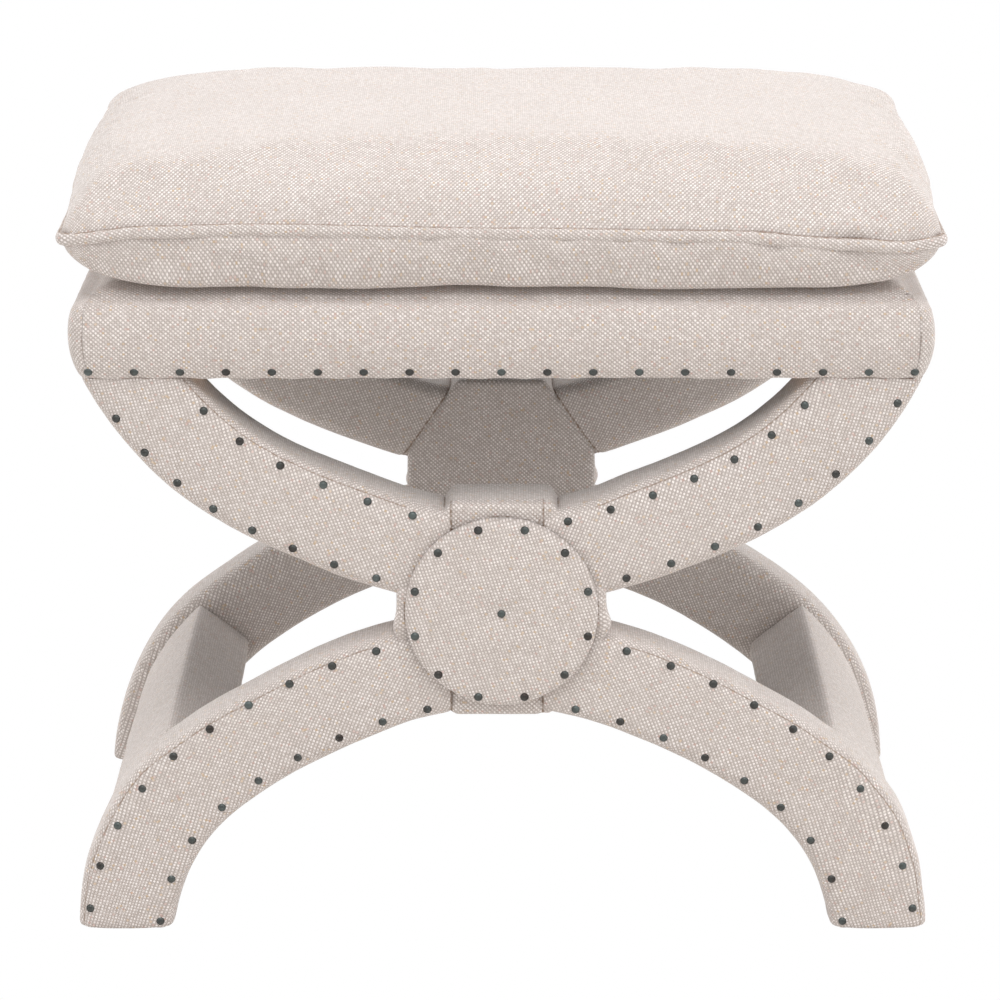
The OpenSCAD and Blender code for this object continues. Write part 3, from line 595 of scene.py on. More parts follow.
@dataclass
class FrameCovers:
    """Padded linen covers of one frame: two arms, two legs, the octagonal hub and its medallion."""

    linen: Material
    rear: bool
    nails: Nails = Nails()
    hub_w: float = 72.5 * MM
    hub_h: float = 76.5 * MM
    hub_top: float = 34.5 * MM
    hub_side: float = 21 * MM
    middle_y: float = 192 * MM
    thick: float = 54 * MM
    wide: float = 64 * MM
    round: float = 10 * MM
    step: float = 3.4 * MM
    swell: float = 1.5 * MM
    fold_off: float = 28.2 * MM
    laps: Pair = (35 * MM, 29 * MM)
    disc_r: float = 67 * MM
    disc_high: float = 9 * MM
    disc_soft: float = 5.4 * MM
    # Side, height and depth of a pinch of spare cloth at each lower corner of the hub's upright sides
    pinches: tuple = ((1, -11 * MM, 3.6 * MM), (-1, -14 * MM, 2.6 * MM))

    def __post_init__(self) -> None:
        """Work out the way of the hub's slanted side at the upper right, and its distance from the middle."""
        self.slant = Vector((self.hub_h - self.hub_side, 0, self.hub_w - self.hub_top)).normalized()
        self.reach = Vector((self.hub_top, 0, self.hub_h)).dot(self.slant)

    def build(self) -> None:
        """Make all covers of the frame."""
        side = "rear" if self.rear else "front"
        for limb, kind in ((ARM, "arm"), (LEG, "leg")):
            for left in (True, False):
                which = f"{side}_{'left' if left else 'right'}_{kind}"
                bm = self.limb_cover(limb, left, FULLNESS[which], len(which) + 7.3 * left + 3.1 * self.rear)
                put_padded(which, bm, self.linen, [f"{which}_cover"])
        put_padded(f"{side}_hub", self.hub_cover(), self.linen, [f"{side}_hub_cover"])
        put_padded(f"{side}_medallion", self.medallion(), self.linen, [f"{side}_medallion_cover"])

    def placed(self, bm: BMesh, left: bool = False, flip_z: bool = False) -> BMesh:
        """Move a right-hand piece of the front frame, built about y = 0, to its own corner.

        Args:
            bm: The piece.
            left: Whether it goes to the left.
            flip_z: Whether its heights were counted downwards.

        Returns:
            The same mesh.
        """
        scaled(bm, -1 if left else 1, -1 if self.rear else 1, -1 if flip_z else 1)
        shifted(bm, 0, self.middle_y if self.rear else -self.middle_y, 0)
        return bm

    def limb_cover(self, limb: Limb, left: bool, full: tuple, seed: float) -> BMesh:
        """Build the padded sleeve of an arm or leg.

        Args:
            limb: Its middle line.
            left: Whether it is on the left.
            full: Knots of its fullness along the outer and the inner edge.
            seed: Start of its noise, so that no two sleeves are alike.

        Returns:
            The sleeve in its place.
        """
        bm = bmesh.new()
        bmesh.ops.create_grid(bm, x_segments=1, y_segments=1, size=0.5)
        scaled(bm, self.wide, self.thick, 1)
        bmesh.ops.bevel(bm, geom=bm.verts[:], offset=self.round, offset_type="OFFSET", affect="VERTICES",
                        segments=7, profile=0.5, material=-1)
        evened(bm, 2 * self.round, self.step)
        bmesh.ops.delete(bm, geom=bm.faces[:], context="FACES_ONLY")
        rolled(bm, math.radians(-90), "Y")
        cx, cz = limb.long_centre
        lead = math.degrees(limb.run_in / limb.long_r)
        shifted(bm, cx, 0, cz + limb.long_r)
        rolled(bm, math.radians(limb.lean - lead), "Y", cx, 0, cz)
        rim = bm.verts[:] + bm.edges[:]
        for (cx, cz), sweep, radius in ((limb.long_centre, limb.long_sweep + lead, limb.long_r),
                                        (limb.tight_centre, limb.tight_sweep, limb.tight_r)):
            angle = math.radians(sweep)
            rim = drawn(bm, rim, (cx, 0, cz), Y_AXIS, angle, round(angle * radius / self.step))
        bmesh.ops.remove_doubles(bm, verts=bm.verts[:], dist=0.01 * MM)
        mitre = Vector((-self.slant.x, 0, self.slant.z))
        mitre_at = Vector((0, 0, limb.sign * HUB_Z)) - mitre * self.reach
        foot_at = Vector((0, 0, limb.end))
        # The cloth of the nailed face runs on under the medallion, past the seam that the inner face has
        lap_at = Vector((self.laps[not left], 0, 0))
        cut(bm, lap_at, -X_AXIS)
        cut(bm, foot_at, -Z_AXIS)
        ring_cuts(bm, lap_at, -X_AXIS, (0.8, 1.8, 3.2))
        ring_cuts(bm, mitre_at, mitre, (-2.4, -1.1, 0, 0.9, 2, 3.6))
        ring_cuts(bm, foot_at, -Z_AXIS, (0.8, 1.8, 3))
        faced(bm)
        self.pad_limb(bm, limb, mitre_at, mitre, seed, left, full)
        return self.placed(bm, left, limb.sign < 0)

    def pad_limb(self, bm: BMesh, limb: Limb, mitre_at: Vector, mitre: Vector, seed: float, left: bool,
                 full: tuple) -> None:
        """Swell the padding, pull it in at the nails and seams, and lay the cloth on it.

        Args:
            bm: The sleeve, built as a right-hand one.
            limb: Its middle line.
            mitre_at: A point of the mitre seam at the hub.
            mitre: The way towards the hub there.
            seed: Start of its noise.
            left: Whether it goes to the left.
            full: Knots of its fullness along the outer and the inner edge.
        """
        places = limb.row_points(self.wide / 2 - self.nails.inset, left)
        half_w, half_t = self.wide / 2, self.thick / 2
        flat_t, flat_w = half_t - self.round, half_w - self.round
        seam, moves = seam_layer(bm), []
        for v in bm.verts:
            s, off, way = limb.locate(v.co.x, v.co.z)
            outer = v.co.y < -half_t + 0.5 * MM
            # The cloth of the nailed face is folded under along its upper edge
            folded = v.co.y < -half_t + 4 * MM and off * limb.sign > 0 and s > 25 * MM
            # Positive outside the hub's outline
            to_mitre = (mitre_at - v.co).dot(mitre)
            to_lap = v.co.x - self.laps[not left]
            to_disc = math.hypot(v.co.x, abs(v.co.z) - HUB_Z) - self.disc_r
            inner_face = smooth_share(v.co.y, -flat_t, -flat_t + 8 * MM)
            push = 0.45 * MM * ripple(v.co, 38, seed) + 0.16 * MM * ripple(v.co, 11, seed + 5)
            if abs(v.co.y) > flat_t:
                push += self.swell * (1 - min(1.0, abs(off) / half_w) ** 2.5)
                if abs(off) < half_w - 1 * MM:
                    push -= (0.7 if folded else 0.2) * MM * bell(abs(off) - self.fold_off, 1.6)
            else:
                push += 0.7 * MM * (1 - (abs(v.co.y) / flat_t) ** 2)
            if outer:
                held = bell(min(math.hypot(v.co.x - x, v.co.z - z) for x, z in places), self.nails.dimple_mm)
                push = push * (1 - held) + 0.25 * MM * held - 0.3 * MM * bell(to_disc, 2.6)
            push -= 0.9 * MM * inner_face * bell(to_mitre, 1.7)
            push -= 3.2 * MM * inner_face * smooth_share(-to_mitre, 0.6 * MM, 4 * MM) * (v.co.y > flat_t - 1 * MM)
            push -= 0.8 * MM * (1 - inner_face) * bell(max(0.0, to_lap), 1.6)
            if limb is LEG:
                push -= 1.3 * MM * bell(max(0.0, v.co.z - limb.end), 1.6)
            else:
                push -= 0.5 * MM * bell(v.co.z - limb.end, 2)
            fuller = follow(full[off < 0], s) * smooth_share(abs(off), 8 * MM, half_w)
            moves.append((v, v.normal * push + way * math.copysign(fuller, off * fuller)))
            marks = [to_mitre - 0.2 * MM if inner_face > 0.5 else max(0.0, to_lap - 0.1 * MM)]
            # Painted shade: a thin brown line in the crease round the medallion's foot
            if outer:
                marks.append(abs(to_disc - 0.2 * MM) + 0.3 * MM)
            # Painted shade: a faint brown line along the crease of the fold
            if folded:
                marks.append(abs(abs(off) - self.fold_off) + 0.3 * MM)
            if limb is ARM:
                marks.append(abs(v.co.z - limb.end) + 0.35 * MM)
            v[seam] = min(marks, key=abs)
        shift = Vector((seed * 0.0137, seed * 0.0071))
        lean, bend = (-22, 0.28) if limb is LEG else (-24, 0.3)

        def rule(face: BMFace, point: Vector) -> Pair:
            """Lay the front and back panels on grain that turns with the limb, and the bands along its edges.

            Args:
                face: Face of the sleeve.
                point: One of its corners.

            Returns:
                The corner's place on the cloth.
            """
            centre = face.calc_center_median()
            s, off, _ = limb.locate(point.x, point.z)
            if abs(face.normal.y) > 0.5 and abs(limb.locate(centre.x, centre.z)[1]) < self.fold_off:
                u, v = turned(point.x - limb.start[0], point.z - limb.start[1], lean)
                return (u * (1 - 2 * bend * v) + shift.x, v + bend * u * abs(u) + shift.y)
            across = abs(point.y)
            if across > flat_t and abs(off) < flat_w:
                across = flat_t + self.round * math.pi / 2 + flat_w - abs(off)
            elif across > flat_t:
                across = flat_t + self.round * math.atan2(across - flat_t, max(1e-6, abs(off) - flat_w))
            return (s + shift.x, math.copysign(across, point.y) + math.copysign(0.3, off) + shift.y)

        lay_cloth(bm, rule, moves)

    def hub_cover(self) -> BMesh:
        """Build the hub's cover: an octagonal block with soft edges, drawn in where the limbs join.

        Returns:
            The cover in its place.
        """
        # The nailed face lies back, under the cloth of the arms and legs, and the inner face stands proud
        outer, inner = self.thick / 2 - 1.9 * MM, self.thick / 2 + 1.5 * MM
        bm = bmesh.new()
        bmesh.ops.create_cube(bm, size=1)
        scaled(bm, 2 * self.hub_w, outer + inner, 2 * self.hub_h)
        shifted(bm, 0, (inner - outer) / 2, 0)
        for sx in (-1, 1):
            for sz in (-1, 1):
                way = Vector((sx * self.slant.x, 0, sz * self.slant.z))
                cut(bm, way * self.reach, way)
        faced(bm)
        bm = remeshed(bm, 2.2 * MM)
        seam, moves = seam_layer(bm), []
        for v in bm.verts:
            edge = min(self.reach - abs(v.co.x) * self.slant.x - abs(v.co.z) * self.slant.z, 1.0)
            nailed = v.co.y < -20 * MM
            to_lap = abs(v.co.x) - self.laps[v.co.x > 0]
            to_disc = abs(math.hypot(v.co.x, v.co.z) - self.disc_r - 0.2 * MM) + 0.3 * MM
            push = 0.5 * MM + 0.35 * MM * ripple(v.co, 24, 3.3 + self.rear)
            forward = 0.0
            if v.co.y > 20 * MM:
                push += 0.5 * MM * (1 - math.exp(-max(0.0, edge) / (14 * MM)))
            if nailed:
                # Between the limbs the hub's cloth comes forward to meet the medallion
                beside = smooth_share(abs(v.co.x), 42 * MM, 52 * MM) * smooth_share(-abs(v.co.z), -20 * MM, -14 * MM)
                forward = 1.9 * MM * smooth_share(-to_lap, 1 * MM, 5 * MM) + 3 * MM * beside
                push = 0.4 * push - 0.5 * MM * bell(to_lap, 1.6)
            else:
                push -= 0.7 * MM * bell(edge, 1.8)
            for side, low, deep in self.pinches:
                pinch = Vector((v.co.x - side * 72 * MM, (v.co.y + 21 * MM) * 0.6, (v.co.z - low) * 0.8)).length
                push += deep * bell(pinch, 6)
            moves.append((v, v.normal * push - Y_AXIS * forward))
            v[seam] = NO_SEAM
            # On the nailed face, the lap seam, and painted shade as a brown line in the crease round the medallion's
            # foot
            if nailed and abs(v.co.z) > 40 * MM or v.co.z > 73 * MM and v.co.y < -14 * MM:
                v[seam] = min(to_lap, to_disc, key=abs)
            elif nailed:
                v[seam] = to_disc
            elif abs(v.normal.y) > 0.5 and edge < 4 * MM:
                v[seam] = edge - 0.5 * MM

        def rule(face: BMFace, point: Vector) -> Pair:
            """Lay the faces and the strips round them on straight grain."""
            if abs(face.normal.y) > 0.7:
                return turned(point.x, point.z, -3)
            if abs(face.normal.z) > abs(face.normal.x):
                return (point.x, point.y + 0.2)
            return (point.z, point.y + 0.4)

        lay_cloth(bm, rule, moves)
        shifted(bm, 0, 0, HUB_Z)
        return self.placed(bm)

    def medallion(self) -> BMesh:
        """Build the padded medallion: a disc with a soft edge, pulled in by its nails.

        Returns:
            The medallion in its place.
        """
        radius, high, soft = self.disc_r, self.disc_high, self.disc_soft
        bm = bmesh.new()
        bmesh.ops.create_circle(bm, cap_ends=True, segments=120, radius=radius)
        made = bmesh.ops.extrude_face_region(bm, geom=bm.faces[:])
        bmesh.ops.translate(bm, vec=(0, 0, high), verts=[e for e in made["geom"] if isinstance(e, BMVert)])
        faced(bm)
        edges = [e for e in bm.edges if all(v.co.z > high / 2 for v in e.verts)]
        bmesh.ops.bevel(bm, geom=edges, offset=soft, offset_type="OFFSET", affect="EDGES", segments=6,
                        profile=0.5, material=-1)
        for side, rings, wide in ((-1, 1, 20 * MM), (1, 19, 3.2 * MM)):
            face = next(f for f in bm.faces if len(f.verts) > 4 and f.normal.z * side > 0.5)
            for _ in range(rings):
                bmesh.ops.inset_region(bm, faces=[face], thickness=wide, use_even_offset=True)
            bmesh.ops.poke(bm, faces=[face])
        seam = bm.verts.layers.float.new(SEAM_AND_CREASE_SHADE_MARK)
        angles = [math.radians(15 + 30 * i) for i in range(12)]
        spots = [(self.nails.ring_r * math.cos(a), self.nails.ring_r * math.sin(a)) for a in angles]
        for v in bm.verts:
            r, angle = math.hypot(v.co.x, v.co.y), math.atan2(v.co.y, v.co.x)
            # Painted shade: the foot of the disc's side, where it meets the face, gets the brown seam line
            v[seam] = max(0.5 * MM, v.co.z - 0.9 * MM) if r > radius - 2 * MM else NO_SEAM
            if v.co.z > high - 2 * soft and r > 1 * MM:
                spread = 1 + 0.5 * MM * noise.noise(Vector((3 * math.cos(angle), 3 * math.sin(angle), 1.7))) / r
                v.co.x, v.co.y = v.co.x * spread, v.co.y * spread
            if v.co.z > high - soft:
                rise = 2.4 * MM * (1 - (r / self.nails.ring_r) ** 2) * smooth_share(r, 0, 26 * MM)
                rise += 0.4 * MM * ripple(v.co, 30, 8.8 + self.rear)
                held = bell(min(math.hypot(v.co.x - x, v.co.y - y) for x, y in spots), 6)
                v.co.z += rise * (1 - held) - 1.25 * MM * bell(r, 5.5)
        lay_cloth(bm, lambda face, point: turned(point.x, point.y, -30))
        rolled(bm, math.radians(90), "X")
        shifted(bm, 0, -self.thick / 2 - 1.5 * MM, HUB_Z)
        return self.placed(bm)


@dataclass
class Stretchers:
    """The two curved, padded planks low at the left and right."""

    linen: Material
    thick: float = 45.5 * MM
    outer_r: float = 190 * MM
    top: float = 127 * MM
    lean: float = 37
    length: float = 330 * MM
    # How far the inner and the outer face stand out beyond the plank, at the left and at the right
    fuller: tuple = ((4.5 * MM, 8 * MM), (0, 8 * MM))

    def build(self) -> None:
        """Make both covers."""
        for left, side in ((True, "left"), (False, "right")):
            put_padded(f"{side}_stretcher", self.cover(left), self.linen, [f"{side}_stretcher_cover"])

    def cover(self, left: bool) -> BMesh:
        """Build one cover, a plank bent as the legs are, with a leaning top.

        Args:
            left: Whether it is on the left.

        Returns:
            The cover in its place.
        """
        cx, cz = LEG.tight_centre
        bm = bmesh.new()
        bmesh.ops.create_grid(bm, x_segments=1, y_segments=1, size=0.5)
        scaled(bm, self.thick, self.length, 1)
        rolled(bm, math.radians(-90), "Y")
        shifted(bm, cx, 0, cz + self.outer_r - self.thick / 2)
        rolled(bm, math.radians(30), "Y", cx, 0, cz)
        drawn(bm, everything(bm), (cx, 0, cz), Y_AXIS, math.radians(75), 40)
        high, lean = math.acos((self.top - cz) / self.outer_r), math.radians(self.lean)
        slope = Vector((-math.sin(lean), 0, math.cos(lean)))
        faced(bm)
        cut(bm, Vector((cx + self.outer_r * math.sin(high), 0, self.top)), slope)
        cut(bm, Vector((0, 0, 2 * MM)), -Z_AXIS)
        faced(bm)
        bm = remeshed(bm, 3.4 * MM)
        seam, moves = seam_layer(bm), []
        inner, outer = self.fuller[not left]
        for v in bm.verts:
            v[seam] = NO_SEAM
            r, end = math.hypot(v.co.x - cx, v.co.z - cz), self.length / 2 - abs(v.co.y)
            spread = inner + (outer - inner) * (r - self.outer_r + self.thick) / self.thick
            spread *= smooth_share(v.co.z, 10 * MM, 90 * MM) / r
            push = 1.3 * MM * (1 - math.exp(-end / (16 * MM)))
            push += 0.6 * MM * ripple(v.co, 55, 6.1 + left) + 0.2 * MM * ripple(v.co, 14, 2.2 + left)
            if end < 3 * MM:
                push -= 1.0 * MM
            moves.append((v, v.normal * push + Vector((v.co.x - cx, 0, v.co.z - cz)) * spread))

        def rule(face: BMFace, point: Vector) -> Pair:
            """Run the cloth round the plank, with the warp along it."""
            if abs(face.normal.y) > 0.7:
                return (point.x, point.z)
            if face.normal.dot(slope) > 0.8:
                return (point.x * 1.2, point.y)
            return (math.atan2(point.x - cx, point.z - cz) * self.outer_r, point.y)

        lay_cloth(bm, rule, moves)
        scaled(bm, -1 if left else 1, 1, 1)
        return bm


@dataclass
class SeatBox:
    """The boxed seat: four bulging side panels nailed at the foot, the cloth on top and the dust cloth."""

    linen: Material
    dust: Material
    nails: Nails = Nails()
    bottom: float = SEAT_Z
    high: float = 65 * MM
    half_d: float = 229 * MM
    bulge_r: float = 54 * MM
    bulge_z: float = 30 * MM
    rail_x: float = 280.9 * MM
    rail_y: float = 212.9 * MM
    seam_x: float = 286 * MM
    shoulder: float = 8.4 * MM
    step: float = 3.6 * MM
    dust_thick: float = 0.9 * MM
    dust_half: Pair = (275.9 * MM, 207.9 * MM)
    dust_notch: Pair = (196 * MM, 163 * MM)

    def __post_init__(self) -> None:
        """Work out how far the panels bulge, and the angle of the corner at which the front panel's seam lies."""
        self.reach = self.half_d - self.rail_y
        self.corner_turn = math.asin((self.seam_x - self.rail_x) / self.reach)

    def build(self) -> None:
        """Make the four panels, the top and the dust cloth."""
        for side, long, far in (("front", True, False), ("rear", True, True), ("left", False, True),
                                ("right", False, False)):
            put_padded(f"{side}_boxing", self.panel(long, far), self.linen, [f"{side}_boxing"])
        put_padded("seat_top", self.top_pad(), self.linen, ["seat_top_cloth", "seat_foam"])
        self.dust_cloth()

    def profile(self) -> BMesh:
        """Build the upright section of a side panel in the YZ plane.

        Returns:
            The section, its back on y = 0, bulging to -y.
        """
        foot, top = self.bottom, self.bottom + self.high
        bm = bmesh.new()
        bmesh.ops.create_circle(bm, cap_ends=True, segments=96, radius=self.bulge_r)
        rolled(bm, math.radians(90), "Y")
        shifted(bm, 0, self.bulge_r - self.reach, foot + self.bulge_z)
        for z, way in ((0, Y_AXIS), (foot, -Z_AXIS), (top, Z_AXIS)):
            cut(bm, Vector((0, 0, z)), way, cap=False)
        corners = [v for v in bm.verts
                   if v.co.y < -1 * MM and (v.co.z < foot + 0.1 * MM or v.co.z > top - 0.1 * MM)]
        bmesh.ops.bevel(bm, geom=corners, offset=2.6 * MM, offset_type="OFFSET", affect="VERTICES", segments=4,
                        profile=0.5, material=-1)
        evened(bm, 1.6 * self.step, self.step)
        return bm

    def around(self, p: Vector) -> Pair:
        """Measure a place round the right half of the box.

        Args:
            p: A point of a panel.

        Returns:
            Length from the front's middle, along the front, the corner and the side, and the whole half length.
        """
        corner = self.reach * math.pi / 2
        x, y = abs(p.x), p.y
        whole = 2 * (self.rail_x + corner + self.rail_y)
        if x > self.rail_x and abs(y) < self.rail_y:
            return (self.rail_x + corner + self.rail_y + y, whole)
        if x > self.rail_x:
            x = self.rail_x + self.reach * math.atan2(x - self.rail_x, max(0.01 * MM, abs(y) - self.rail_y))
        return (x if y < 0 else whole - x, whole)

    def swing(self, bm: BMesh, rim: list, centre: Pair, angle: float) -> list:
        """Turn a section round a corner and give its last copy."""
        steps = max(2, round(abs(angle) * self.reach / (0.8 * self.step)))
        return drawn(bm, rim, (*centre, 0), Z_AXIS, angle, steps)

    def panel(self, long: bool, far: bool) -> BMesh:
        """Build a side panel. A long one starts each turn of the corners and a short one makes the rest of it.

        Args:
            long: Whether it is the front or rear one.
            far: Whether it is the rear or left one, made as the front or right one and then mirrored.

        Returns:
            The panel in its place.
        """
        bm, turn, x, y = self.profile(), self.corner_turn, self.rail_x, self.rail_y
        if long:
            begin, sweep, start, end = -turn, turn, (-x, -y), (x, -y)
        else:
            begin, sweep, start, end = turn, math.pi / 2 - turn, (x, -y), (x, y)
        shifted(bm, *start, 0)
        rolled(bm, begin, "Z", *start, 0)
        rim = self.swing(bm, everything(bm), start, sweep)
        slide = Vector((2 * x, 0, 0) if long else (0, 2 * y, 0))
        steps = round(slide.length / self.step)
        rim = drawn(bm, rim, (0, 0, 0), Z_AXIS, 0, steps, slide / steps)
        self.swing(bm, rim, end, sweep)
        self.pad(bm, long, far)
        if far:
            scaled(bm, *((1, -1, 1) if long else (-1, 1, 1)))
        return bm

    def pad(self, bm: BMesh, long: bool, far: bool) -> None:
        """Let a panel puff out between its nails and draw it in at its upright seams.

        Args:
            bm: The front or the right-hand panel.
            long: Whether it is the front one.
            far: Whether it will be mirrored.
        """
        bmesh.ops.remove_doubles(bm, verts=bm.verts[:], dist=0.01 * MM)
        faced(bm)
        seam_at = self.rail_x + self.reach * self.corner_turn
        middle = self.rail_x + self.reach * math.pi / 2 + self.rail_y
        count, seed = (9, 4.4 + far) if long else (6, 9.2 + far)
        spots = [i * self.nails.seat_pitch for i in range(-count, count + 1)]
        seam, moves = seam_layer(bm), []
        for v in bm.verts:
            rise = v.co.z - self.bottom
            fall = smooth_share(rise, 44 * MM, self.high) ** 1.7
            if abs(v.co.y) < self.rail_y + 0.5 * MM and abs(v.co.x) < self.rail_x + 0.5 * MM:
                v[seam] = NO_SEAM
                moves.append((v, -Z_AXIS * self.shoulder * fall))
                continue
            length, whole = self.around(v.co)
            side = min(abs(length - seam_at), abs(whole - length - seam_at))
            place = math.copysign(length, v.co.x) if long else length - middle
            gap = min(abs(place - spot) for spot in spots)
            low = smooth_share(rise, 30 * MM, 3 * MM)
            push = 0.7 * MM * low * (0.5 - 0.5 * math.cos(min(1.0, 2 * gap / self.nails.seat_pitch) * math.pi))
            push += 0.7 * MM * ripple(v.co, 60, seed) + 0.25 * MM * ripple(v.co, 17, seed + 3)
            push *= 1 - bell(gap, 6) * bell(rise - self.nails.seat_rise, 6)
            sewn = smooth_share(rise, 42 * MM, 34 * MM) * smooth_share(rise, 7 * MM, 13 * MM)
            push -= 0.2 * sewn * MM * bell(side, 1.6)
            level = Vector((math.copysign(max(0.0, abs(v.co.x) - self.rail_x), v.co.x),
                            math.copysign(max(0.0, abs(v.co.y) - self.rail_y), v.co.y), 0)).normalized()
            moves.append((v, v.normal * push - Z_AXIS * self.shoulder * fall - level * 5 * MM * fall))
            v[seam] = side + 0.62 * MM + 3 * MM * (1 - sewn) if side < 6 * MM else NO_SEAM

        def rule(face: BMFace, point: Vector) -> Pair:
            """Run the cloth round the box, upright threads upright."""
            if abs(face.normal.z) > 0.9:
                return (point.x, point.y)
            return (math.copysign(self.around(point)[0], point.x), point.z)

        lay_cloth(bm, rule, moves)

    def top_pad(self) -> BMesh:
        """Build the foam of the seat under its top cloth, softly crowned.

        Returns:
            The pad in its place.
        """
        low, top = self.bottom + 51.4 * MM, self.bottom + self.high
        half_x, half_y = self.rail_x - 0.3 * MM, self.rail_y - 0.3 * MM
        bm = bmesh.new()
        bmesh.ops.create_grid(bm, x_segments=70, y_segments=54, size=1)
        scaled(bm, half_x, half_y, 1)
        faced(bm)
        made = bmesh.ops.extrude_face_region(bm, geom=bm.faces[:])
        bmesh.ops.translate(bm, vec=(0, 0, top), verts=[v for v in made["geom"] if isinstance(v, BMVert)])
        bmesh.ops.translate(bm, vec=(0, 0, low), verts=[v for v in bm.verts if v.co.z < low])
        faced(bm)
        seam = bm.verts.layers.float.new(SEAM_AND_CREASE_SHADE_MARK)
        for v in bm.verts:
            v[seam] = NO_SEAM
            if v.co.z > low + 1 * MM:
                v.co.z -= self.shoulder * bell(min(half_x - abs(v.co.x), half_y - abs(v.co.y)), 8)
                v.co.z -= 0.4 * MM * (1 + ripple(v.co, 90, 1.9))
        lay_cloth(bm, lambda face, point: (point.x, point.y + point.z))
        return bm

    def dust_cloth(self) -> None:
        """Make the black cloth stapled under the seat, notched round the frames' tops."""
        (half_x, half_y), (notch_x, notch_y) = self.dust_half, self.dust_notch
        bm = bmesh.new()
        bmesh.ops.create_grid(bm, x_segments=92, y_segments=70, size=0.5)
        scaled(bm, 2 * half_x, 2 * half_y, 1)
        for place, way in ((notch_x, X_AXIS), (-notch_x, X_AXIS), (notch_y, Y_AXIS), (-notch_y, Y_AXIS)):
            split(bm, way * place, way)
        centres = [(f, f.calc_center_median()) for f in bm.faces]
        gone = [f for f, centre in centres if abs(centre.x) > notch_x and abs(centre.y) > notch_y]
        bmesh.ops.delete(bm, geom=gone, context="FACES")
        for v in bm.verts:
            inside = min(1.0, max(0.0, (half_x - 20 * MM - abs(v.co.x)) / (90 * MM)))
            inside *= min(1.0, max(0.0, (half_y - 20 * MM - abs(v.co.y)) / (90 * MM)))
            v.co.z = -1.2 * MM * smooth_share(inside, 0, 1) + 0.12 * MM * ripple(v.co, 30, 4.7) * inside
        shifted(bm, 0, 0, self.bottom - 0.05 * MM)
        faced(bm)
        if sum(f.normal.z for f in bm.faces) < 0:
            bmesh.ops.reverse_faces(bm, faces=bm.faces[:])
        lay_cloth(bm, lambda face, point: (point.x, point.y))
        piece = put_piece("dust_cloth_panel", bm, self.dust, Slot.DUST, ["dust_cloth"])
        wall = piece.modifiers.new("thickness", "SOLIDIFY")
        wall.thickness, wall.offset = self.dust_thick, -1


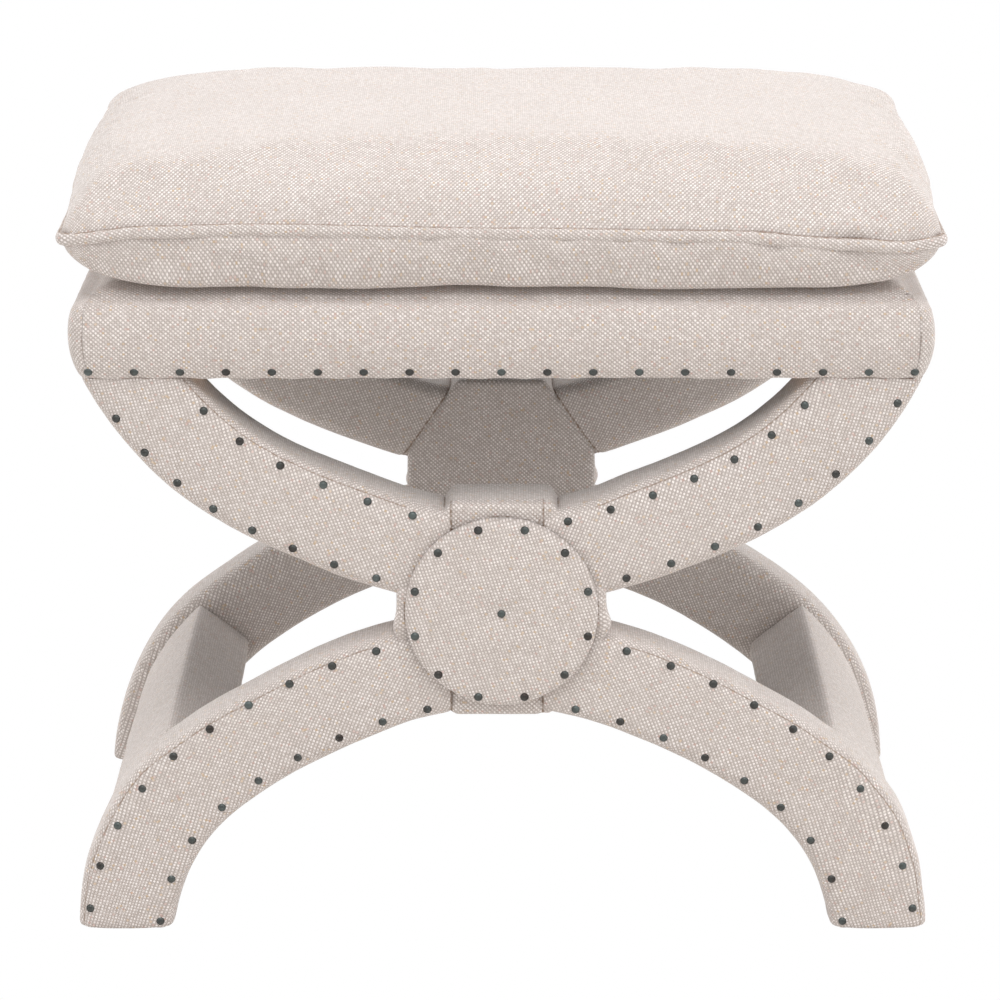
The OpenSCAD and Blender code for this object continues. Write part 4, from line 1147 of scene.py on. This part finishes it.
@dataclass
class Pillow:
    """The loose-filled pillow: crowned top, welted seam with pointed corners and a drawn-in underside."""

    linen: Material
    half_w: float = 299 * MM
    half_d: float = 224.5 * MM
    seam_z: float = 506 * MM
    seat_z: float = 466.4 * MM
    crown: float = 48.5 * MM
    corner_r: float = 17 * MM
    columns: int = 104
    rows: int = 80
    puff: float = 3.6 * MM
    pressure: float = 4
    blown_frames: int = 20
    welt_r: float = 4.4 * MM
    welt_drop: float = 3.2 * MM
    welt_out: float = 1.1 * MM
    welt_sides: int = 14
    # Share of the way round the welt at which its stitches lie, where it goes under the crown
    stitch_at: float = 0.02
    sag: tuple[Pair, ...] = ((-300, -4.5), (-240, 1.0), (-170, 2.6), (0, 0.0), (150, -2.0), (240, -7.5),
                             (272, -9.5), (300, -5.5))

    def build(self) -> None:
        """Make the pillow, then the welt along its seam."""
        bm, ring = self.skin()
        piece = put_padded("pillow", bm, self.linen, ["cushion_cover", "cushion_fill"])
        self.inflate(piece)
        rounding = piece.modifiers.new("rounding", "SUBSURF")
        rounding.levels = rounding.render_levels = 1
        put_piece("pillow_welt_linen", self.welt(ring), self.linen, Slot.LINEN, ["cushion_cord"])

    def seam_drop(self, x: float, y: float) -> float:
        """Height of the seam's wave at a place round the pillow, as sewn cloth never runs true."""
        if y > 0:
            return 1.5 * MM * ripple(Vector((x, y, 0)), 160, 2.7)
        return follow(self.sag, x) * smooth_share(-y, 60 * MM, 200 * MM)

    def over_seam(self, p: Vector) -> float:
        """Height of a point over the seam."""
        return p.z - self.seam_z - self.seam_drop(p.x, p.y)

    def past_corner(self, x: float, y: float) -> Pair:
        """Measure how far a place lies beyond the middle of the nearest corner's curve, both ways."""
        return (abs(x) - self.half_w + self.corner_r, abs(y) - self.half_d + self.corner_r)

    def outline(self, x: float, y: float) -> Pair:
        """Draw the corners of a rectangle in to their radius, leaving a small point.

        Args:
            x: Place from left to right.
            y: Place from front to back.

        Returns:
            The place drawn in.
        """
        hx, hy, r = self.half_w, self.half_d, self.corner_r
        dx, dy = self.past_corner(x, y)
        if min(dx, dy) <= 0:
            return (x, y)
        share = min(1.0, r * (1 + 0.19 * math.sin(2 * math.atan2(dy, dx)) ** 2) / math.hypot(dx, dy))
        return (math.copysign(hx - r + dx * share, x), math.copysign(hy - r + dy * share, y))

    def skin(self) -> tuple[BMesh, list[Vector]]:
        """Build the pillow's two panels, laid out flat as cut and then shaped.

        Returns:
            The mesh, and the seam's points in order of angle.
        """
        whole = bmesh.new()
        whole.loops.layers.uv.new(CLOTH_UV)
        tables = {top: (self.table(self.half_w, top, False), self.table(self.half_d, top, True))
                  for top in (True, False)}
        for top, (width, depth) in tables.items():
            part = bmesh.new()
            bmesh.ops.create_grid(part, x_segments=self.columns, y_segments=self.rows, size=1)
            if not top:
                bmesh.ops.reverse_faces(part, faces=part.faces[:])
            for v in part.verts:
                # Each panel has its own even spacing inside, and the crown's at the seam
                p, q = v.co.x, v.co.y
                (u, w), (seam_u, seam_w) = ([self.read(pairs, share * pairs[-1][0], 0)
                                             for pairs, share in zip(tables[kind], (p, q))] for kind in (top, True))
                v.co.x, v.co.y = u + (seam_u - u) * abs(q) ** 8, w + (seam_w - w) * abs(p) ** 8
            lay_cloth(part, lambda face, p: (self.read(depth, p.y, 1), 0.9 * top - self.read(width, p.x, 1)))
            for v in part.verts:
                v.co = self.shape(v.co.x, v.co.y, top)
            mesh = bpy.data.meshes.new("panel")
            part.to_mesh(mesh)
            part.free()
            whole.from_mesh(mesh)
        bmesh.ops.remove_doubles(whole, verts=whole.verts[:], dist=0.02 * MM)
        faced(whole)
        seam, ring = whole.verts.layers.float.new(SEAM_AND_CREASE_SHADE_MARK), []
        for v in whole.verts:
            v[seam] = NO_SEAM
            if self.on_edge(v.co, 1.5 * MM) and self.over_seam(v.co) > -0.1 * MM:
                v[seam] = max(0.0, self.over_seam(v.co) - 1.9 * MM)
                v[seam] += 0.5 * MM * (min(self.past_corner(v.co.x, v.co.y)) > 0)
            if self.on_edge(v.co, 0.1 * MM) and abs(self.over_seam(v.co)) < 0.01 * MM:
                ring.append(v.co.copy())
        ring.sort(key=lambda p: math.atan2(p.y / self.half_d, p.x / self.half_w))
        return whole, ring

    def on_edge(self, p: Vector, within: float) -> bool:
        """Tell whether a point lies on the outline, or within a distance of its straight sides."""
        dx, dy = self.past_corner(p.x, p.y)
        if min(dx, dy) > 0:
            return math.hypot(dx, dy) > self.corner_r * 0.97
        return abs(p.x) > self.half_w - within or abs(p.y) > self.half_d - within

    def height(self, u: float, w: float, top: bool) -> float:
        """Give the share of the full rise at a place on a panel, each side from -1 to 1."""
        across, along = 1 - abs(u) ** 9, 1 - abs(w) ** 60
        if top:
            across = (1 - abs(u) ** (30 - 16 * smooth_share(w, -0.1, 0.9))) * (1 - 0.32 * abs(u) ** 3.2) ** 2
            along = 1 - abs(w) ** (14 if w > 0 else 6)
        return (max(0.0, across) * max(0.0, along)) ** 0.5

    def shape(self, u: float, w: float, top: bool) -> Vector:
        """Place a point of a panel in space.

        Args:
            u: Share of the half width, from -1 to 1.
            w: Share of the half depth.
            top: Whether it is on the crown's panel.

        Returns:
            The point.
        """
        x, y = self.outline(self.half_w * u, self.half_d * w)
        rise = self.height(u, w, top)
        z = self.seam_z + self.seam_drop(x, y) * (1 - rise)
        if top:
            # The ends stand out past the seam, save near the front corners
            stand = smooth_share(abs(u), 0.85, 0.97) * smooth_share(w, -0.95, -0.4)
            return Vector((x * (1 + (0.15 + 0.06 * w) * rise * (1 - rise) * stand), y, z + self.crown * rise))
        # The front and back belly out under the welt, then draw in and hang over the seat's shoulder
        lip = 7.6 * MM * smooth_share(rise, 0.5, 0.93) * smooth_share(abs(w), 0.94, 0.965)
        lip *= 1 + 0.4 * ripple(Vector((x, y, 0)), 70, 3.9)
        y *= 1 + 0.11 * rise * (1 - rise) ** 3 * smooth_share(abs(w), 0.7, 0.9)
        return Vector((x, y, z - (self.seam_z - self.seat_z) * rise - lip))

    def table(self, half: float, top: bool, deep: bool) -> list[Pair]:
        """Tabulate the length along a middle section against its share of the half width.

        Args:
            half: Half width of the section.
            top: Whether it is the crown's section.
            deep: Whether it runs from front to back.

        Returns:
            Pairs of length and place share.
        """
        full = self.crown if top else self.seam_z - self.seat_z
        steps, length, last, pairs = 400, 0.0, None, []
        for i in range(steps + 1):
            u = 1 - (1 - i / steps) ** 2.2
            here = (half * u, full * (self.height(0, -u, top) if deep else self.height(u, 0, top)))
            length += math.dist(here, last or here)
            last = here
            pairs.append((length, u))
        return pairs

    def read(self, pairs: list[Pair], value: float, column: int) -> float:
        """Read the table at a value of one column, keeping its sign, and give the other column."""
        for low, high in zip(pairs, pairs[1:]):
            if abs(value) <= high[column]:
                t = (abs(value) - low[column]) / (high[column] - low[column])
                return math.copysign(low[1 - column] + (high[1 - column] - low[1 - column]) * t, value)
        return math.copysign(pairs[-1][1 - column], value)

    def inflate(self, piece: Object) -> None:
        """Blow the pillow up as cloth, held at its seam and seat, and keep the result.

        Args:
            piece: The pillow, changed in place.
        """
        scene, mesh = bpy.context.scene, piece.data
        work = bpy.data.objects.new("pillow_work", mesh.copy())
        scene.collection.objects.link(work)
        group = work.vertex_groups.new(name="held")
        rest = [v.co.copy() for v in work.data.vertices]
        for i, p in enumerate(rest):
            near_edge = abs(p.x) > self.half_w - 8 * MM or abs(p.y) > self.half_d - 8 * MM
            at_seam = bell(p.z - self.seam_z, 5) if near_edge else 0.0
            group.add([i], max(at_seam, float(p.z < self.seat_z + 1.5 * MM)), "REPLACE")
        cloth = work.modifiers.new("cloth", "CLOTH").settings
        cloth.quality, cloth.mass = 5, 0.3
        cloth.tension_stiffness = cloth.compression_stiffness = 12
        cloth.bending_stiffness = 1.2
        cloth.use_pressure, cloth.uniform_pressure_force = True, self.pressure
        cloth.shrink_min, cloth.vertex_group_mass = -0.03, "held"
        cloth.effector_weights.gravity = 0
        for number in range(self.blown_frames):
            scene.frame_set(number + 1)
        result = work.evaluated_get(bpy.context.evaluated_depsgraph_get()).to_mesh()
        for v, old, new in zip(mesh.vertices, rest, result.vertices):
            move = new.co - old
            if move.length > self.puff:
                move = move.normalized() * (self.puff + 0.25 * min(4 * MM, move.length - self.puff))
            v.co = old + move
        bpy.data.objects.remove(work)
        scene.frame_set(1)
        mesh.update()
        LOG.info("pillow blown up")

    def welt(self, ring: list[Vector]) -> BMesh:
        """Sweep the self-welt round the seam, just below the line of stitches.

        Args:
            ring: The seam's points in order.

        Returns:
            The welt as a closed tube.
        """
        girth = 2 * math.pi * self.welt_r
        bm = bmesh.new()
        seam = bm.verts.layers.float.new(SEAM_AND_CREASE_SHADE_MARK)
        layer = bm.loops.layers.uv.new(CLOTH_UV)
        first = bmesh.ops.create_circle(bm, segments=self.welt_sides, radius=self.welt_r)["verts"]
        scaled(bm, 0.74, 1, 1)
        edges = bm.edges[:]
        frames = []
        for i, p in enumerate(ring):
            way = (ring[(i + 1) % len(ring)] - ring[i - 1]).normalized()
            side = way.cross(Z_AXIS).normalized()
            up = side.cross(way).normalized()
            frames.append(Matrix((side, up, -way)).transposed().to_4x4())
            frames[-1].translation = p + side * self.welt_out - up * self.welt_drop
        bmesh.ops.transform(bm, matrix=frames[0], verts=first)
        stations = {v: 0.0 for v in first}
        around = {v: j / self.welt_sides for j, v in enumerate(first)}
        before, length = set(first), 0.0
        for i in range(1, len(ring)):
            length += (ring[i] - ring[i - 1]).length
            grown = bmesh.ops.extrude_edge_only(bm, edges=edges)["geom"]
            new = [e for e in grown if isinstance(e, BMVert)]
            bmesh.ops.transform(bm, matrix=frames[i] @ frames[i - 1].inverted(), verts=new)
            for v in new:
                old = next(e.other_vert(v) for e in v.link_edges if e.other_vert(v) in before)
                stations[v], around[v] = length, around[old]
            before = set(new)
            edges = [e for e in grown if isinstance(e, BMEdge) and before.issuperset(e.verts)]
        start = [e for e in bm.edges if set(first).issuperset(e.verts)]
        bmesh.ops.bridge_loops(bm, edges=edges + start)
        faced(bm)
        whole = length + (ring[0] - ring[-1]).length
        for face in bm.faces:
            places = [(stations[c.vert], around[c.vert]) for c in face.loops]
            wrap_s = max(s for s, _ in places) - min(s for s, _ in places) > whole / 2
            wrap_a = max(a for _, a in places) - min(a for _, a in places) > 0.5
            for c, (s, a) in zip(face.loops, places):
                s += whole * (wrap_s and s < whole / 2)
                a += wrap_a and a < 0.5
                c[layer].uv = turned(s, a * girth, 6)
        for v in bm.verts:
            past = ((around[v] - self.stitch_at + 0.5) % 1 - 0.5) * girth
            v[seam] = max(0.0, past) if abs(past) < 4 * MM else NO_SEAM
            v.co += v.normal * 0.4 * MM * ripple(v.co, 26, 5.5)
        return bm


def dress_nodes(finishes: Finishes) -> None:
    """Give each CAD node that stays its own finish, by its name.

    Args:
        finishes: The materials of the ottoman.
    """
    rules = (("nails", finishes.pewter), ("_rail", finishes.beech), ("blocks", finishes.beech),
             ("dowels", finishes.beech), ("core", finishes.plywood), ("board", finishes.plywood),
             ("deck", finishes.plywood), ("bolts", finishes.zinc), ("glides", finishes.glide),
             ("foam", finishes.foam), ("fill", finishes.fibre))
    for name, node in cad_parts.items():
        mat = next((m for key, m in rules if key in name), finishes.linen)
        node.data.materials.clear()
        node.data.materials.append(mat)
        LOG.info("%s wears %s", name, mat.name)


@dataclass(frozen=True)
class Studio:
    """Camera, floor and soft lights."""

    eye: Point = (-0.001, -3.090, 1.052)
    pitch: float = 14.4
    lens: float = 154.7
    floor: str = "F4F2EF"
    lights: tuple = (("high_front", (0.0, -1.8, 3.2), 0.3, 2.0, 58), ("side_left", (-2.8, -1.6, 1.9), 0.3, 2.0, 19),
                     ("side_right", (2.8, -1.6, 1.9), 0.3, 2.0, 30), ("top", (0.0, 0.3, 2.6), 0.4, 2.6, 21),
                     ("back_left", (-2.2, 1.8, 1.4), 0.3, 1.8, 31), ("back_right", (2.2, 1.8, 1.4), 0.3, 1.8, 39))

    def put(self, name: str, data: object) -> Object:
        """Put a new object with its data in the scene."""
        made = bpy.data.objects.new(name, data)
        bpy.context.scene.collection.objects.link(made)
        return made

    def sweep_paint(self) -> Material:
        """Build the floor's matt white paint, lit from behind as a product table is, so that no shadow shows.

        Returns:
            The floor's material.
        """
        mat, tree = new_material("floor_painted_matt")
        paint = add_node(tree, "BsdfDiffuse", {"Color": srgb(self.floor)})
        glow = add_node(tree, "Emission", {"Color": srgb("FFFFFF"), "Strength": 1.0})
        seen = add_node(tree, "LightPath").outputs["Is Camera Ray"]
        add_node(tree, "OutputMaterial", {"Surface": add_node(tree, "MixShader", (seen, paint, glow))})
        return mat

    def build(self) -> None:
        """Make the camera first, then the floor and lights."""
        scene = bpy.context.scene
        data = bpy.data.cameras.new("camera")
        data.lens, data.sensor_width, data.clip_end = self.lens, 36, 50
        scene.camera = self.put("camera", data)
        scene.camera.location = self.eye
        scene.camera.rotation_euler = (math.radians(90 - self.pitch), 0, 0)
        scene.view_settings.view_transform = "Standard"
        bm = bmesh.new()
        bmesh.ops.create_grid(bm, x_segments=8, y_segments=8, size=9)
        mesh = bpy.data.meshes.new("studio_floor")
        bm.to_mesh(mesh)
        bm.free()
        mesh.materials.append(self.sweep_paint())
        self.put("studio_floor", mesh)
        for name, place, aim, size, power in self.lights:
            lamp = bpy.data.lights.new(name, "AREA")
            lamp.shape, lamp.size, lamp.energy = "SQUARE", size, power
            holder = self.put(name, lamp)
            holder.location = place
            holder.rotation_euler = (Vector((0, 0, aim)) - Vector(place)).to_track_quat("-Z", "Y").to_euler()
        world = scene.world = bpy.data.worlds.new("studio")
        world.use_nodes = True
        sky = world.node_tree.nodes["Background"].inputs
        sky[0].default_value, sky[1].default_value = srgb("FFFFFF"), 0.5


def main() -> None:
    """Build the studio, the covers, the seat and the pillow in order."""
    logging.basicConfig(level=logging.INFO, format="%(message)s")
    Studio().build()
    finishes = Finishes()
    dress_nodes(finishes)
    for rear in (False, True):
        FrameCovers(finishes.linen, rear).build()
    Stretchers(finishes.linen).build()
    SeatBox(finishes.linen, finishes.dust).build()
    Pillow(finishes.linen).build()


if __name__ == "__main__":
    main()
